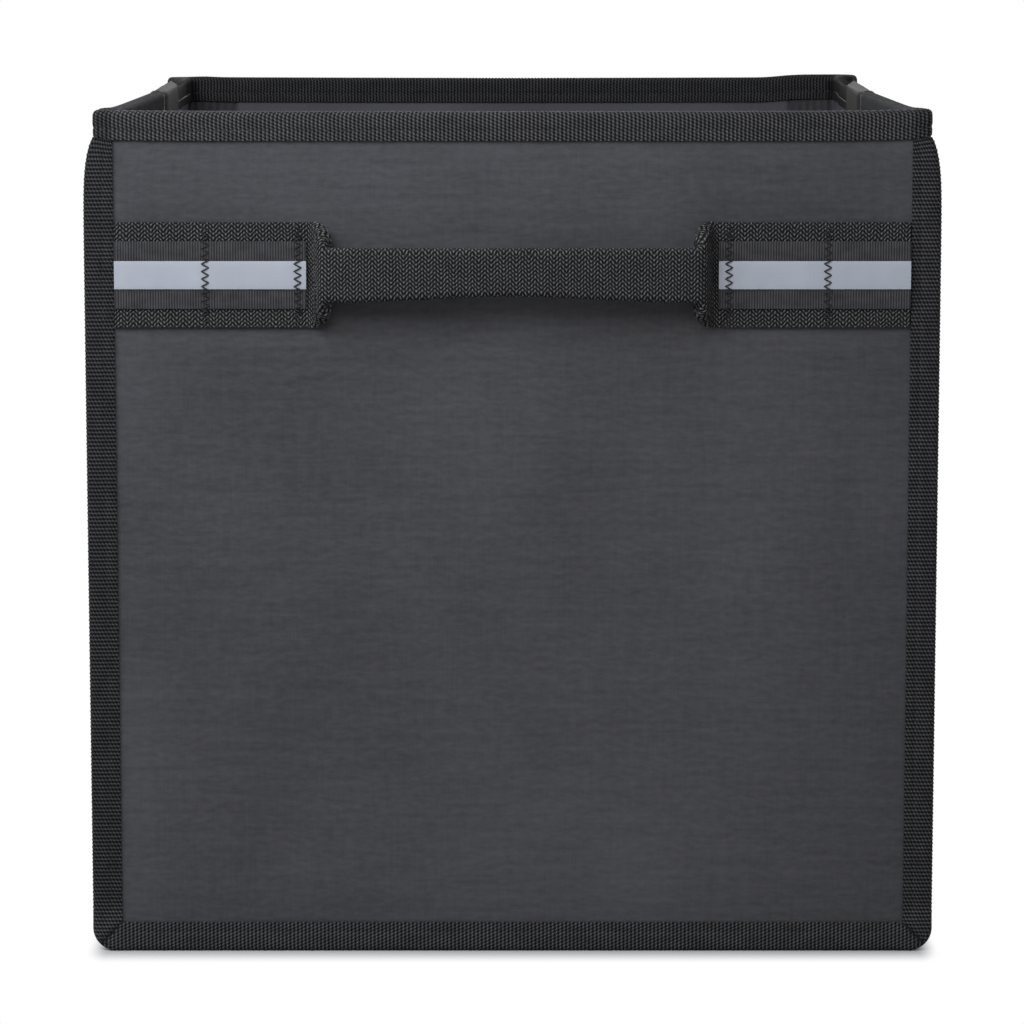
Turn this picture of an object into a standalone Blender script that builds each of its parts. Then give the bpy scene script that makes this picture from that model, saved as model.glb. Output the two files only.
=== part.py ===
"""Open-topped cargo storage box of stiffened fabric, with bound seams and two webbing handles.

The box stands on the floor at the origin, +Z up. The wall that faces -Y is the front.
All lengths are in metres.
"""
import math

import bmesh
import bpy

# Overall sizes
BOX_WIDTH = 0.3112
BOX_DEPTH = 0.3350
BOX_HEIGHT = 0.3110

# Sheet thicknesses
TAPE_THICKNESS = 0.0009
COVER_THICKNESS = 0.0006
BOARD_THICKNESS = 0.0025
LINING_THICKNESS = 0.0005
BASE_BOARD_THICKNESS = 0.0030
SLEEVE_THICKNESS = 0.0005
CLEARANCE = 0.0003

# Bound seams round the front and the back wall
SEAM_FLANGE = 0.0090
SEAM_TAPE_FACE = 0.0109
SEAM_CORNER_RADIUS = 0.0070
FOLD_STEPS = 5
NECK_DEPTH = 0.0040
NECK_LENGTH = 0.0065
NECK_SHARES = (0.0, 0.35, 1.0, 1.9, 3.0, 5.0)
WALL_CORNER_RADIUS = 0.0012
CORNER_CENTRE = 0.0060
CORNER_STEPS = 8

# Creased side walls
CREASE_DEPTH = 0.0026
CREASE_GAP = 0.0030
WALL_STEPS = 4

# Bound rim
RIM_TAPE_FACE = 0.0109
RIM_FOLD_RADIUS = 0.0015
RIM_CORNER_RADIUS = 0.0020
RIM_INNER_RADIUS = 0.0015
RIM_CORNER_RUN = 0.0145
REAR_TAPE_WRAP = 0.0210

# Handle straps
WEBBING_WIDTH = 0.0380
WEBBING_THICKNESS = 0.0013
WEBBING_DROP = 0.0595
HANDLE_REACH = 0.0745
HANDLE_LIFT_ANGLE = math.radians(75)
HANDLE_FOOT_RADIUS = 0.0030
HANDLE_SHOULDER_RADIUS = 0.0050
HANDLE_STAND_OFF = 0.0115
HANDLE_BOW = 0.0025
GRIP_RISE = 0.0013
GRIP_FOLD_LEAD = 0.0050
GRIP_FOLD_RUN = 0.0075
GRIP_CLOSING = 0.98
GRIP_FOLD_RADIUS = 0.0015
GRIP_FLAP_GAP = 0.0008
RIBBON_WIDTH = 0.0245
RIBBON_THICKNESS = 0.0005
REFLECTOR_WIDTH = 0.0102
REFLECTOR_THICKNESS = 0.0003

# Zigzag tacks across the straps, left then right: the outer ones are set in from the strap's ends,
# the inner ones out from the handle
OUTER_TACKS = (0.0330, 0.0301)
INNER_TACKS = (0.0034, 0.0040)
TACK_WIDTH = 0.0030
TACK_PITCH = 0.0027
THREAD_WIDTH = 0.0006
THREAD_THICKNESS = 0.0004

# Loose base insert
BASE_PLAY = 0.0010

# Rounds taken to settle the grip's bow against its span
SOLVE_STEPS = 6

# Planes that follow from the sizes above
FRONT = -BOX_DEPTH / 2
SEAM_HALF = BOX_WIDTH / 2
RIM_HALF_WIDTH = SEAM_HALF - NECK_DEPTH
WALL_HALF = SEAM_HALF - SEAM_FLANGE
FLOOR = SEAM_FLANGE
COVER_FACE = FRONT + TAPE_THICKNESS + CLEARANCE
COVER_BACK = COVER_FACE + COVER_THICKNESS
BOARD_FACE = COVER_BACK + CLEARANCE
FLANGE_BACK = BOARD_FACE + COVER_THICKNESS
SEAM_BACK = FLANGE_BACK + CLEARANCE + TAPE_THICKNESS
SEAM_FOLD_RADIUS = (SEAM_BACK - FRONT) / 2
BOARD_BACK = BOARD_FACE + BOARD_THICKNESS
LINING_FACE = BOARD_BACK + CLEARANCE
LINING_BACK = LINING_FACE + LINING_THICKNESS
SIDE_START = LINING_BACK + CLEARANCE
RIM_BACK = LINING_BACK + CLEARANCE + TAPE_THICKNESS
LAYER_TOP = BOX_HEIGHT - TAPE_THICKNESS - CLEARANCE
BOARD_INSET = COVER_THICKNESS + CLEARANCE
LINING_INSET = BOARD_INSET + BOARD_THICKNESS + CLEARANCE
WALL_STACK = LINING_INSET + LINING_THICKNESS
RIM_INNER_INSET = WALL_STACK + CLEARANCE + TAPE_THICKNESS
RIM_OUTER_OUTSET = CLEARANCE + TAPE_THICKNESS

# Finishes: base colour, roughness, metallic
COATED_FABRIC = ((0.060, 0.061, 0.068), 0.48, 0.0)
LINING_FABRIC = ((0.047, 0.046, 0.052), 0.70, 0.0)
STIFF_BOARD = ((0.190, 0.165, 0.130), 0.85, 0.0)
WOVEN_TAPE = ((0.030, 0.030, 0.032), 0.80, 0.0)
SMOOTH_FACING = ((0.036, 0.038, 0.034), 0.55, 0.0)
WEBBING = ((0.028, 0.028, 0.029), 0.75, 0.0)
RIBBON = ((0.042, 0.042, 0.046), 0.65, 0.0)
REFLECTOR = ((0.430, 0.450, 0.520), 0.35, 0.0)
THREAD = ((0.010, 0.010, 0.010), 0.60, 0.0)

WALL = "wall"
CORNER = "corner"
BASE = "base"


def add_body(name, points, faces, finish):
    """Make one named object with outward faces and its own material."""
    mesh = bpy.data.meshes.new(name)
    mesh.from_pydata(points, [], faces)
    shaped = bmesh.new()
    shaped.from_mesh(mesh)
    bmesh.ops.recalc_face_normals(shaped, faces=shaped.faces)
    shaped.to_mesh(mesh)
    shaped.free()
    colour, roughness, metallic = finish
    material = bpy.data.materials.new(name + "_finish")
    material.use_nodes = True
    shader = material.node_tree.nodes["Principled BSDF"]
    shader.inputs["Base Color"].default_value = (*colour, 1.0)
    shader.inputs["Roughness"].default_value = roughness
    shader.inputs["Metallic"].default_value = metallic
    mesh.materials.append(material)
    body = bpy.data.objects.new(name, mesh)
    bpy.context.scene.collection.objects.link(body)
    return body


def add_sheet(name, outer, inner, finish, closed=False):
    """Join two grids of points into one closed sheet; a closed sheet's rows run round in a ring."""
    rows = len(outer)
    columns = len(outer[0])
    points = [point for grid in (outer, inner) for row in grid for point in row]

    def at(side, row, column):
        return (side * rows + row % rows) * columns + column

    faces = []
    for i in range(rows if closed else rows - 1):
        for j in range(columns - 1):
            faces.append((at(0, i, j), at(0, i + 1, j), at(0, i + 1, j + 1), at(0, i, j + 1)))
            faces.append((at(1, i, j), at(1, i, j + 1), at(1, i + 1, j + 1), at(1, i + 1, j)))
        for j in (0, columns - 1):
            faces.append((at(0, i, j), at(1, i, j), at(1, i + 1, j), at(0, i + 1, j)))
    if not closed:
        for i in (0, rows - 1):
            for j in range(columns - 1):
                faces.append((at(0, i, j), at(0, i, j + 1), at(1, i, j + 1), at(1, i, j)))
    return add_body(name, points, faces, finish)


def turned(grid):
    """The same grid of points, turned half round about the upright axis."""
    return [[(-x, -y, z) for x, y, z in row] for row in grid]


def spread(start, end, count):
    """Evenly spaced values from start to end, both included."""
    return [start + (end - start) * i / (count - 1) for i in range(count)]


def smooth(value):
    """Ease from 0 to 1, flat at both ends."""
    value = min(max(value, 0.0), 1.0)
    return value * value * (3 - 2 * value)


# The seam outline, seen from the front

def seam_half(z):
    """Half width across the bound seams at height z: they draw in to a neck under the rim."""
    below = max(BOX_HEIGHT - RIM_TAPE_FACE - z, 0.0)
    return SEAM_HALF - NECK_DEPTH * math.exp(-below / NECK_LENGTH)


def fold_share(y):
    """0 at the front and back walls, 1 at the crease half way along a side wall."""
    return min(max(1 - abs(y) / -SIDE_START, 0.0), 1.0)


def crease(y, z):
    """How far a side wall is drawn in at depth y and height z."""
    return CREASE_DEPTH * fold_share(y) * min(max((z - FLOOR) / (BOX_HEIGHT - FLOOR), 0.0), 1.0)


def wall_levels(top):
    """Heights down a side wall, close together under the rim where the seam curves in."""
    neck_top = BOX_HEIGHT - RIM_TAPE_FACE
    neck = [neck_top - NECK_LENGTH * share for share in NECK_SHARES]
    return [top] + [z for z in neck[:-1] if z < top] + spread(neck[-1], FLOOR + CORNER_CENTRE, WALL_STEPS + 1)


def seam_stations(top):
    """Places round the wall's two sides and base: down the left, along the base, up the right."""
    levels = wall_levels(top)
    angles = spread(0.0, math.pi / 2, CORNER_STEPS + 1)[1:-1]
    base_half = WALL_HALF - CORNER_CENTRE
    left = [(WALL, -1, z) for z in levels] + [(CORNER, -1, angle) for angle in angles]
    right = [(CORNER, 1, angle) for angle in reversed(angles)] + [(WALL, 1, z) for z in reversed(levels)]
    return left + [(BASE, 0, x) for x in (-base_half, 0.0, base_half)] + right


def outline_point(station, side, bottom, radius):
    """Point (x, z) of a rounded outline at one station; side gives the half width at a height."""
    kind, sign, value = station
    if kind == WALL:
        return sign * side(value), value
    if kind == BASE:
        return value, bottom
    centre_x = WALL_HALF - CORNER_CENTRE
    centre_z = FLOOR + CORNER_CENTRE
    reach_x = side(centre_z) - centre_x
    reach_z = centre_z - bottom
    across = math.cos(value)
    down = math.sin(value)
    length = min(reach_x / across, reach_z / down)
    round_x = reach_x - radius
    round_z = reach_z - radius
    if length * across > round_x and length * down > round_z:
        along = across * round_x + down * round_z
        length = along + math.sqrt(along ** 2 - round_x ** 2 - round_z ** 2 + radius ** 2)
    return sign * (centre_x + length * across), centre_z - length * down


def gusset_point(station, side_inset, base_inset, radius, y):
    """Point of a gusset layer at one station and depth, set in from the outer face of the cover."""
    _, _, value = station

    def side(z):
        return WALL_HALF - side_inset - crease(y, z)

    x, z = outline_point(station, side, FLOOR + base_inset, radius)
    return x, y, z


def flange_point(station, y):
    """Tip of the seam allowance at one station, inside the fold of the tape."""
    x, z = outline_point(
        station,
        lambda level: seam_half(level) - SEAM_FOLD_RADIUS,
        SEAM_FOLD_RADIUS,
        SEAM_CORNER_RADIUS - SEAM_FOLD_RADIUS,
    )
    return x, y, z


# Front and back walls

def wall_grids(levels, half_width, depths):
    """Grids of one flat wall layer at two depths; half_width gives its half width at a height."""
    return [
        [[(share * half_width(z), y, z) for share in (-1, 0, 1)] for z in levels]
        for y in depths
    ]


def cover_half(z):
    """Half width of a wall cover at height z, with its lower corners rounded."""
    radius = SEAM_CORNER_RADIUS - SEAM_FOLD_RADIUS
    rise = min(max(z - SEAM_FOLD_RADIUS, 0.0), radius)
    corner = radius - math.sqrt(max(radius ** 2 - (radius - rise) ** 2, 0.0))
    return seam_half(z) - SEAM_FOLD_RADIUS - corner


def board_half(_z):
    """Half width of a wall's board and lining, between the two sides of the gusset."""
    return WALL_HALF - BOARD_INSET


def add_walls():
    """Cover, board and lining of the front wall and of the back wall."""
    radius = SEAM_CORNER_RADIUS - SEAM_FOLD_RADIUS
    cover_levels = [
        SEAM_FOLD_RADIUS + radius * (1 - math.cos(angle)) for angle in spread(0.0, math.pi / 2, 6)
    ]
    cover_levels += [z for z in reversed(wall_levels(LAYER_TOP)) if z > cover_levels[-1]]
    board_levels = [FLOOR + BOARD_INSET, LAYER_TOP]
    layers = (
        ("cover", cover_levels, cover_half, (COVER_FACE, COVER_BACK), COATED_FABRIC),
        ("board", board_levels, board_half, (BOARD_FACE, BOARD_BACK), STIFF_BOARD),
        ("lining", board_levels, board_half, (LINING_FACE, LINING_BACK), LINING_FABRIC),
    )
    for layer, levels, half_width, depths, finish in layers:
        outer, inner = wall_grids(levels, half_width, depths)
        add_sheet("front_" + layer, outer, inner, finish)
        add_sheet("back_" + layer, turned(outer), turned(inner), finish)


# Gusset: one strip down the left side, under the base and up the right side

def add_gusset():
    """Outer cover with its seam allowances turned out, and the lining inside it."""
    stations = seam_stations(LAYER_TOP)
    depths = [SIDE_START, SIDE_START / 2, 0.0, -SIDE_START / 2, -SIDE_START]
    grids = []
    for inset, flange_y in ((0.0, FLANGE_BACK), (COVER_THICKNESS, BOARD_FACE)):
        insets = (inset, inset, WALL_CORNER_RADIUS - inset)
        grids.append([
            [flange_point(station, flange_y)]
            + [gusset_point(station, *insets, y) for y in [flange_y] + depths + [-flange_y]]
            + [flange_point(station, -flange_y)]
            for station in stations
        ])
    add_sheet("gusset_cover", *grids, COATED_FABRIC)

    grids = []
    for inset in (0.0, LINING_THICKNESS):
        insets = (LINING_INSET + inset, BOARD_INSET + inset, WALL_CORNER_RADIUS - inset)
        grids.append([[gusset_point(station, *insets, y) for y in depths] for station in stations])
    add_sheet("gusset_lining", *grids, LINING_FABRIC)


def add_side_boards():
    """Two stiffening boards in each side wall, with a fold line between them."""
    bottom = FLOOR + BOARD_INSET
    spans = (("front", SIDE_START, -CREASE_GAP / 2), ("rear", CREASE_GAP / 2, -SIDE_START))
    for side, sign in (("left", -1), ("right", 1)):
        for place, near, far in spans:
            grids = []
            for inset in (BOARD_INSET, BOARD_INSET + BOARD_THICKNESS):
                grids.append([
                    [(sign * (WALL_HALF - inset - crease(y, z)), y, z) for y in spread(near, far, 3)]
                    for z in spread(bottom, LAYER_TOP, WALL_STEPS + 1)
                ])
            add_sheet(f"{side}_{place}_board", *grids, STIFF_BOARD)


# Tapes folded over the seams and the rim

def seam_tape_section(station):
    """Outer and inner points of the folded tape at one station; its fold is round with a flat edge."""
    middle = FRONT + SEAM_FOLD_RADIUS
    leg_side = SEAM_HALF - SEAM_TAPE_FACE
    rear_side = WALL_HALF + CLEARANCE
    rear_bottom = FLOOR - CLEARANCE
    rear_radius = WALL_CORNER_RADIUS + CLEARANCE
    angles = spread(math.pi / 2, -math.pi / 2, FOLD_STEPS + 1)
    flattening = math.cos(math.pi / 2 / FOLD_STEPS)
    chains = []
    for radius in (SEAM_FOLD_RADIUS, SEAM_FOLD_RADIUS - TAPE_THICKNESS):
        chain = []
        x, z = outline_point(station, lambda level: leg_side, SEAM_TAPE_FACE, 0.0)
        chain.append((x, middle - radius, z))
        for angle in angles:
            inset = SEAM_FOLD_RADIUS - radius * math.cos(angle) / flattening
            x, z = outline_point(
                station, lambda level: seam_half(level) - inset, inset, SEAM_CORNER_RADIUS - inset)
            chain.append((x, middle - radius * math.sin(angle), z))
        x, z = outline_point(station, lambda level: rear_side, rear_bottom, rear_radius)
        chain.append((x, middle + radius, z))
        chains.append(chain)
    return chains


def add_seam_tapes():
    """Tape round the sides and base of the front wall, and the same round the back wall."""
    top = BOX_HEIGHT - RIM_TAPE_FACE - CLEARANCE
    sections = [seam_tape_section(station) for station in seam_stations(top)]
    outer = [section[0] for section in sections]
    inner = [section[1] for section in sections]
    add_sheet("front_edge_binding", outer, inner, WOVEN_TAPE)
    add_sheet("back_edge_binding", turned(outer), turned(inner), WOVEN_TAPE)


def rim_section(outer_foot, inner_foot):
    """Outer and inner points of a tape folded over the rim between two feet seen from above."""
    run_x = inner_foot[0] - outer_foot[0]
    run_y = inner_foot[1] - outer_foot[1]
    width = math.hypot(run_x, run_y)
    chains = []
    for inset in (0.0, TAPE_THICKNESS):
        radius = RIM_FOLD_RADIUS - inset
        top = BOX_HEIGHT - inset
        profile = [(inset, BOX_HEIGHT - RIM_TAPE_FACE)]
        for angle in spread(0.0, math.pi / 2, 4):
            profile.append((inset + radius * (1 - math.cos(angle)), top - radius * (1 - math.sin(angle))))
        profile += [(width - across, z) for across, z in reversed(profile)]
        chains.append([
            (outer_foot[0] + run_x * across / width, outer_foot[1] + run_y * across / width, z)
            for across, z in profile
        ])
    return chains


def rim_reach(y):
    """Half width over the rim tape at depth y, wider near the corners where it wraps the seams."""
    wall = WALL_HALF - CREASE_DEPTH * fold_share(y) + RIM_OUTER_OUTSET
    from_seam = abs(FRONT) - SEAM_FOLD_RADIUS * 2 - abs(y)
    return RIM_HALF_WIDTH + (wall - RIM_HALF_WIDTH) * smooth(from_seam / RIM_CORNER_RUN)


def rim_inner(y):
    """Half width inside the rim tape at depth y."""
    return WALL_HALF - CREASE_DEPTH * fold_share(y) - RIM_INNER_INSET


def rim_side_feet(depths):
    """Outer and inner feet of the tape along the left side wall."""
    return [((-rim_reach(y), y), (-rim_inner(y), y)) for y in depths]


def rim_corner_feet():
    """Feet of the tape round the front left corner, from the side wall to the front wall."""
    inner_x = rim_inner(RIM_BACK)
    angles = spread(0.0, math.pi / 2, 4)
    outer = [(-RIM_HALF_WIDTH, SEAM_BACK)]
    for angle in angles:
        outer.append((
            -RIM_HALF_WIDTH + RIM_CORNER_RADIUS * (1 - math.cos(angle)),
            FRONT + RIM_CORNER_RADIUS * (1 - math.sin(angle)),
        ))
    inner = []
    for angle in spread(0.0, math.pi / 2, len(outer)):
        inner.append((
            -inner_x + RIM_INNER_RADIUS * (1 - math.cos(angle)),
            RIM_BACK + RIM_INNER_RADIUS * (1 - math.sin(angle)),
        ))
    return list(zip(outer, inner))


def rim_feet(side_end):
    """Feet of a tape that runs along the front rim and back to side_end on both side walls."""
    side_start = RIM_BACK + RIM_INNER_RADIUS
    near = spread(side_start + RIM_CORNER_RUN, side_start + RIM_CORNER_RADIUS, 5)
    depths = [y for y in near if y < side_end]
    left = rim_side_feet([side_end] + depths) + rim_corner_feet()
    mirrored = [((-ox, oy), (-ix, iy)) for (ox, oy), (ix, iy) in reversed(left)]
    middle = [((x, FRONT), (x, RIM_BACK)) for x in spread(-RIM_HALF_WIDTH, RIM_HALF_WIDTH, 9)[1:-1]]
    return left + middle + mirrored


def add_rim():
    """Woven tape on the front rim, woven tape on the back rim and smooth facings between them."""
    for name, side_end, placed in (
        ("rim_binding_front", -CLEARANCE / 2, lambda grid: grid),
        ("rim_binding_back", FRONT + REAR_TAPE_WRAP, turned),
    ):
        sections = [rim_section(*feet) for feet in rim_feet(side_end)]
        outer = placed([section[0] for section in sections])
        inner = placed([section[1] for section in sections])
        add_sheet(name, outer, inner, WOVEN_TAPE)
    facing_end = -FRONT - REAR_TAPE_WRAP - CLEARANCE
    left = [rim_section(*feet) for feet in rim_side_feet(spread(CLEARANCE / 2, facing_end, 3))]
    for name, sign in (("left_rim_facing", 1), ("right_rim_facing", -1)):
        outer, inner = [
            [[(sign * x, y, z) for x, y, z in section[layer]] for section in left] for layer in (0, 1)
        ]
        add_sheet(name, outer, inner, SMOOTH_FACING)


# Straps and handles

STRAP_HEIGHT = BOX_HEIGHT - WEBBING_DROP
STRAP_FACE = COVER_FACE - CLEARANCE - WEBBING_THICKNESS
RIBBON_FACE = STRAP_FACE - CLEARANCE - RIBBON_THICKNESS
REFLECTOR_FACE = RIBBON_FACE - CLEARANCE - REFLECTOR_THICKNESS
STRAP_END = SEAM_HALF - SEAM_TAPE_FACE - CLEARANCE
RIBBON_END = HANDLE_REACH + CLEARANCE


def handle_arcs():
    """Arcs of half the handle from its foot to the grip's middle, as (length, curvature)."""
    shoulder_x = HANDLE_REACH
    bow_angle = 0.0
    for _ in range(SOLVE_STEPS):
        bow_angle = 2 * math.atan(HANDLE_BOW / shoulder_x)
        turned_height = HANDLE_FOOT_RADIUS * (1 - math.cos(HANDLE_LIFT_ANGLE))
        turned_height += HANDLE_SHOULDER_RADIUS * (math.cos(bow_angle) - math.cos(HANDLE_LIFT_ANGLE))
        straight = (HANDLE_STAND_OFF - turned_height) / math.sin(HANDLE_LIFT_ANGLE)
        run = HANDLE_FOOT_RADIUS * math.sin(HANDLE_LIFT_ANGLE) + straight * math.cos(HANDLE_LIFT_ANGLE)
        run += HANDLE_SHOULDER_RADIUS * (math.sin(HANDLE_LIFT_ANGLE) - math.sin(bow_angle))
        shoulder_x = HANDLE_REACH - run
    grip_radius = shoulder_x / math.sin(bow_angle)
    return (
        (HANDLE_FOOT_RADIUS * HANDLE_LIFT_ANGLE, 1 / HANDLE_FOOT_RADIUS),
        (straight, 0.0),
        (HANDLE_SHOULDER_RADIUS * (HANDLE_LIFT_ANGLE - bow_angle), -1 / HANDLE_SHOULDER_RADIUS),
        (grip_radius * bow_angle, -1 / grip_radius),
    )


def handle_point(arcs, run):
    """Distance in from the foot, stand-off and lift angle at a run along half the handle."""
    inward = 0.0
    out = 0.0
    angle = 0.0
    for length, curvature in arcs:
        step = min(max(run, 0.0), length)
        turned_angle = angle + step * curvature
        if curvature:
            inward += (math.sin(turned_angle) - math.sin(angle)) / curvature
            out += (math.cos(angle) - math.cos(turned_angle)) / curvature
        else:
            inward += step * math.cos(angle)
            out += step * math.sin(angle)
        angle = turned_angle
        run -= length
    return inward, out, angle


def strap_section(angle):
    """Points across the strap as (up, back, turn), with both edges folded back by the angle."""
    arc = math.pi * GRIP_FOLD_RADIUS
    flat = (WEBBING_WIDTH / 2 - arc + GRIP_FLAP_GAP / 2) / 2
    flap = WEBBING_WIDTH / 2 - flat - arc
    half = [(flat * 0.5, 0.0, 0.0)]
    for share in spread(0.0, 1.0, 5):
        turn = angle * share
        if angle > 0:
            radius = arc / angle
            half.append((flat + radius * math.sin(turn), radius * (1 - math.cos(turn)), turn))
        else:
            half.append((flat + arc * share, 0.0, 0.0))
    up, back, turn = half[-1]
    half.append((up + flap * math.cos(angle), back + flap * math.sin(angle), turn))
    lower = [(-up, back, -turn) for up, back, turn in reversed(half)]
    return lower + half


def strap_row(x, out, rise, lean, fold, side):
    """Points of one face of the strap at x; side is 1 for the outer face and -1 for the inner one."""
    middle = STRAP_FACE + WEBBING_THICKNESS / 2
    row = []
    for up, back, turn in strap_section(fold):
        lift = side * WEBBING_THICKNESS / 2
        height = up + lift * math.sin(turn)
        outward = lift * math.cos(turn) - back
        row.append((
            x - math.sin(lean) * outward,
            middle - out - math.cos(lean) * outward,
            STRAP_HEIGHT + rise + height,
        ))
    return row


def add_straps():
    """Webbing across the front with its folded grip, and the same across the back."""
    arcs = handle_arcs()
    shoulder_start = arcs[0][0] + arcs[1][0]
    fold_start = shoulder_start + arcs[2][0] - GRIP_FOLD_LEAD
    fold_end = fold_start + GRIP_FOLD_RUN
    total = sum(length for length, _ in arcs)
    runs = spread(0.0, arcs[0][0], 5) + spread(shoulder_start, fold_end, 10)
    runs += spread(fold_end, total, 5)[1:]
    left = [(-STRAP_END, 0.0, 0.0, 0.0, 0.0)]
    for run in runs:
        inward, out, lean = handle_point(arcs, run)
        folded = smooth((run - fold_start) / GRIP_FOLD_RUN)
        rise = GRIP_RISE * smooth(run / fold_end)
        left.append((inward - HANDLE_REACH, out, rise, lean, math.pi * GRIP_CLOSING * folded))
    right = [(-x, out, rise, -lean, fold) for x, out, rise, lean, fold in reversed(left[:-1])]
    outer = [strap_row(*place, 1) for place in left + right]
    inner = [strap_row(*place, -1) for place in left + right]
    add_sheet("front_webbing", outer, inner, WEBBING)
    add_sheet("back_webbing", turned(outer), turned(inner), WEBBING)


def add_strip(place, side, kind, width, face, thickness, finish):
    """One flat strip on the strap, between the seam tape and the handle."""
    sign = -1 if (side == "left") == (place == "front") else 1
    ends = (sign * STRAP_END, sign * RIBBON_END)
    levels = (STRAP_HEIGHT - width / 2, STRAP_HEIGHT + width / 2)
    facing = 1 if place == "front" else -1
    grids = []
    for y in (face, face + thickness):
        grids.append([[(x, facing * y, z) for x in ends] for z in levels])
    add_sheet(f"{place}_{side}_{kind}", *grids, finish)


def strip_face(drop):
    """Face that a tack's corner lies on at a height from the strap's middle, clear of the strips' edges."""
    if abs(drop) <= (REFLECTOR_WIDTH + TACK_PITCH) / 2:
        return REFLECTOR_FACE
    if abs(drop) <= (RIBBON_WIDTH + TACK_PITCH) / 2:
        return RIBBON_FACE
    return STRAP_FACE


def add_tack(name, x, facing):
    """Zigzag of thread across the whole width of the strap, centred at x."""
    steps = 2 * round((WEBBING_WIDTH - TACK_PITCH) / TACK_PITCH)
    half_run = steps * TACK_PITCH / 4
    swing = (TACK_WIDTH - THREAD_WIDTH) / 2
    grids = []
    for lift in (CLEARANCE + THREAD_THICKNESS, CLEARANCE):
        grid = []
        for i in range(steps + 1):
            drop = -half_run + i * TACK_PITCH / 2
            centre = x + swing * (1 if i % 2 else -1)
            y = strip_face(drop) - lift
            edges = (centre - THREAD_WIDTH, centre + THREAD_WIDTH)
            grid.append([(facing * edge, facing * y, STRAP_HEIGHT + drop) for edge in edges])
        grids.append(grid)
    add_sheet(name, *grids, THREAD)


def add_strap_trim():
    """Ribbons, reflective strips and tacks on both straps."""
    for place, facing in (("front", 1), ("back", -1)):
        for side in ("left", "right"):
            add_strip(place, side, "ribbon", RIBBON_WIDTH, RIBBON_FACE, RIBBON_THICKNESS, RIBBON)
            add_strip(
                place, side, "reflector", REFLECTOR_WIDTH, REFLECTOR_FACE, REFLECTOR_THICKNESS, REFLECTOR)
        tack_places = (
            OUTER_TACKS[0] - STRAP_END,
            -HANDLE_REACH - INNER_TACKS[0],
            HANDLE_REACH + INNER_TACKS[1],
            STRAP_END - OUTER_TACKS[1],
        )
        for number, x in enumerate(tack_places, start=1):
            add_tack(f"{place}_tack_{number}", x, facing)


# Loose base insert

def add_base_insert():
    """Stiff board in a fabric sleeve, lying loose on the base lining."""
    sleeve_bottom = FLOOR + BOARD_INSET + LINING_THICKNESS + CLEARANCE
    half_x = WALL_HALF - WALL_STACK - BASE_PLAY
    half_y = -(LINING_BACK + BASE_PLAY)
    wrap = SLEEVE_THICKNESS + CLEARANCE
    board_bottom = sleeve_bottom + wrap
    board_top = board_bottom + BASE_BOARD_THICKNESS
    sleeve_top = board_top + wrap
    grids = []
    for inset in (0.0, SLEEVE_THICKNESS):
        x = half_x - inset
        low = sleeve_bottom + inset
        high = sleeve_top - inset
        ring = ((-x, low), (0.0, low), (x, low), (x, high), (0.0, high), (-x, high))
        grids.append([[(px, y, pz) for y in (-half_y, half_y)] for px, pz in ring])
    add_sheet("base_sleeve", *grids, LINING_FABRIC, closed=True)
    board_x = half_x - wrap
    board_y = half_y - CLEARANCE
    grids = [
        [[(x, y, z) for x in (-board_x, board_x)] for y in (-board_y, board_y)]
        for z in (board_top, board_bottom)
    ]
    add_sheet("base_board", *grids, STIFF_BOARD)


def main():
    """Clear the scene and build every piece of the box."""
    for item in list(bpy.data.objects):
        bpy.data.objects.remove(item, do_unlink=True)
    add_walls()
    add_gusset()
    add_side_boards()
    add_seam_tapes()
    add_rim()
    add_straps()
    add_strap_trim()
    add_base_insert()


main()
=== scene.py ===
import math

import bpy
import numpy as np
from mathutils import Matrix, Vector, noise


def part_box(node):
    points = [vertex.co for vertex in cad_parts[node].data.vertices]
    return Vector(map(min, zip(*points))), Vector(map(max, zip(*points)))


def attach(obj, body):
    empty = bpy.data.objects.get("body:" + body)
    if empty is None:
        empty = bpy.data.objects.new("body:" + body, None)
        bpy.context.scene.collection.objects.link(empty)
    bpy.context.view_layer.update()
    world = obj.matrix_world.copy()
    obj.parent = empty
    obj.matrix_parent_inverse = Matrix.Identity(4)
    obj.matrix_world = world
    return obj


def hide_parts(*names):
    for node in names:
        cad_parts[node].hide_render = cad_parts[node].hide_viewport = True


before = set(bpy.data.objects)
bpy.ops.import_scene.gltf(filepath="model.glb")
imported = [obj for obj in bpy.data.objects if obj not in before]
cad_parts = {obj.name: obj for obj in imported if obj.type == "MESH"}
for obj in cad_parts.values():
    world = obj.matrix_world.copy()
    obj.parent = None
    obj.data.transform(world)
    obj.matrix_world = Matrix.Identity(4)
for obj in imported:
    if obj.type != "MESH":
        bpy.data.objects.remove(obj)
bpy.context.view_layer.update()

# Camera: at the height and tilt that the front wall and the open rim are seen from
LENS = 145.55
CAMERA_PLACE = (-0.00018, -1.6665, 0.3761)
CAMERA_TILT = math.radians(90 - 8.03)

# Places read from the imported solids, in metres
SEAM_LOW, SEAM_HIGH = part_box("front_edge_binding")
RIM_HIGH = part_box("rim_binding_front")[1]
COVER_LOW, COVER_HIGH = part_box("front_cover")
LINING_LOW, LINING_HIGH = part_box("front_lining")
GUSSET_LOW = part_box("gusset_cover")[0]
STRAP_LOW, STRAP_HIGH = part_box("front_webbing")
RIBBON_LOW, RIBBON_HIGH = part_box("front_left_ribbon")
REFLECTOR_LOW, REFLECTOR_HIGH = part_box("front_left_reflector")
SLEEVE_LOW, SLEEVE_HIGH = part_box("base_sleeve")

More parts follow.
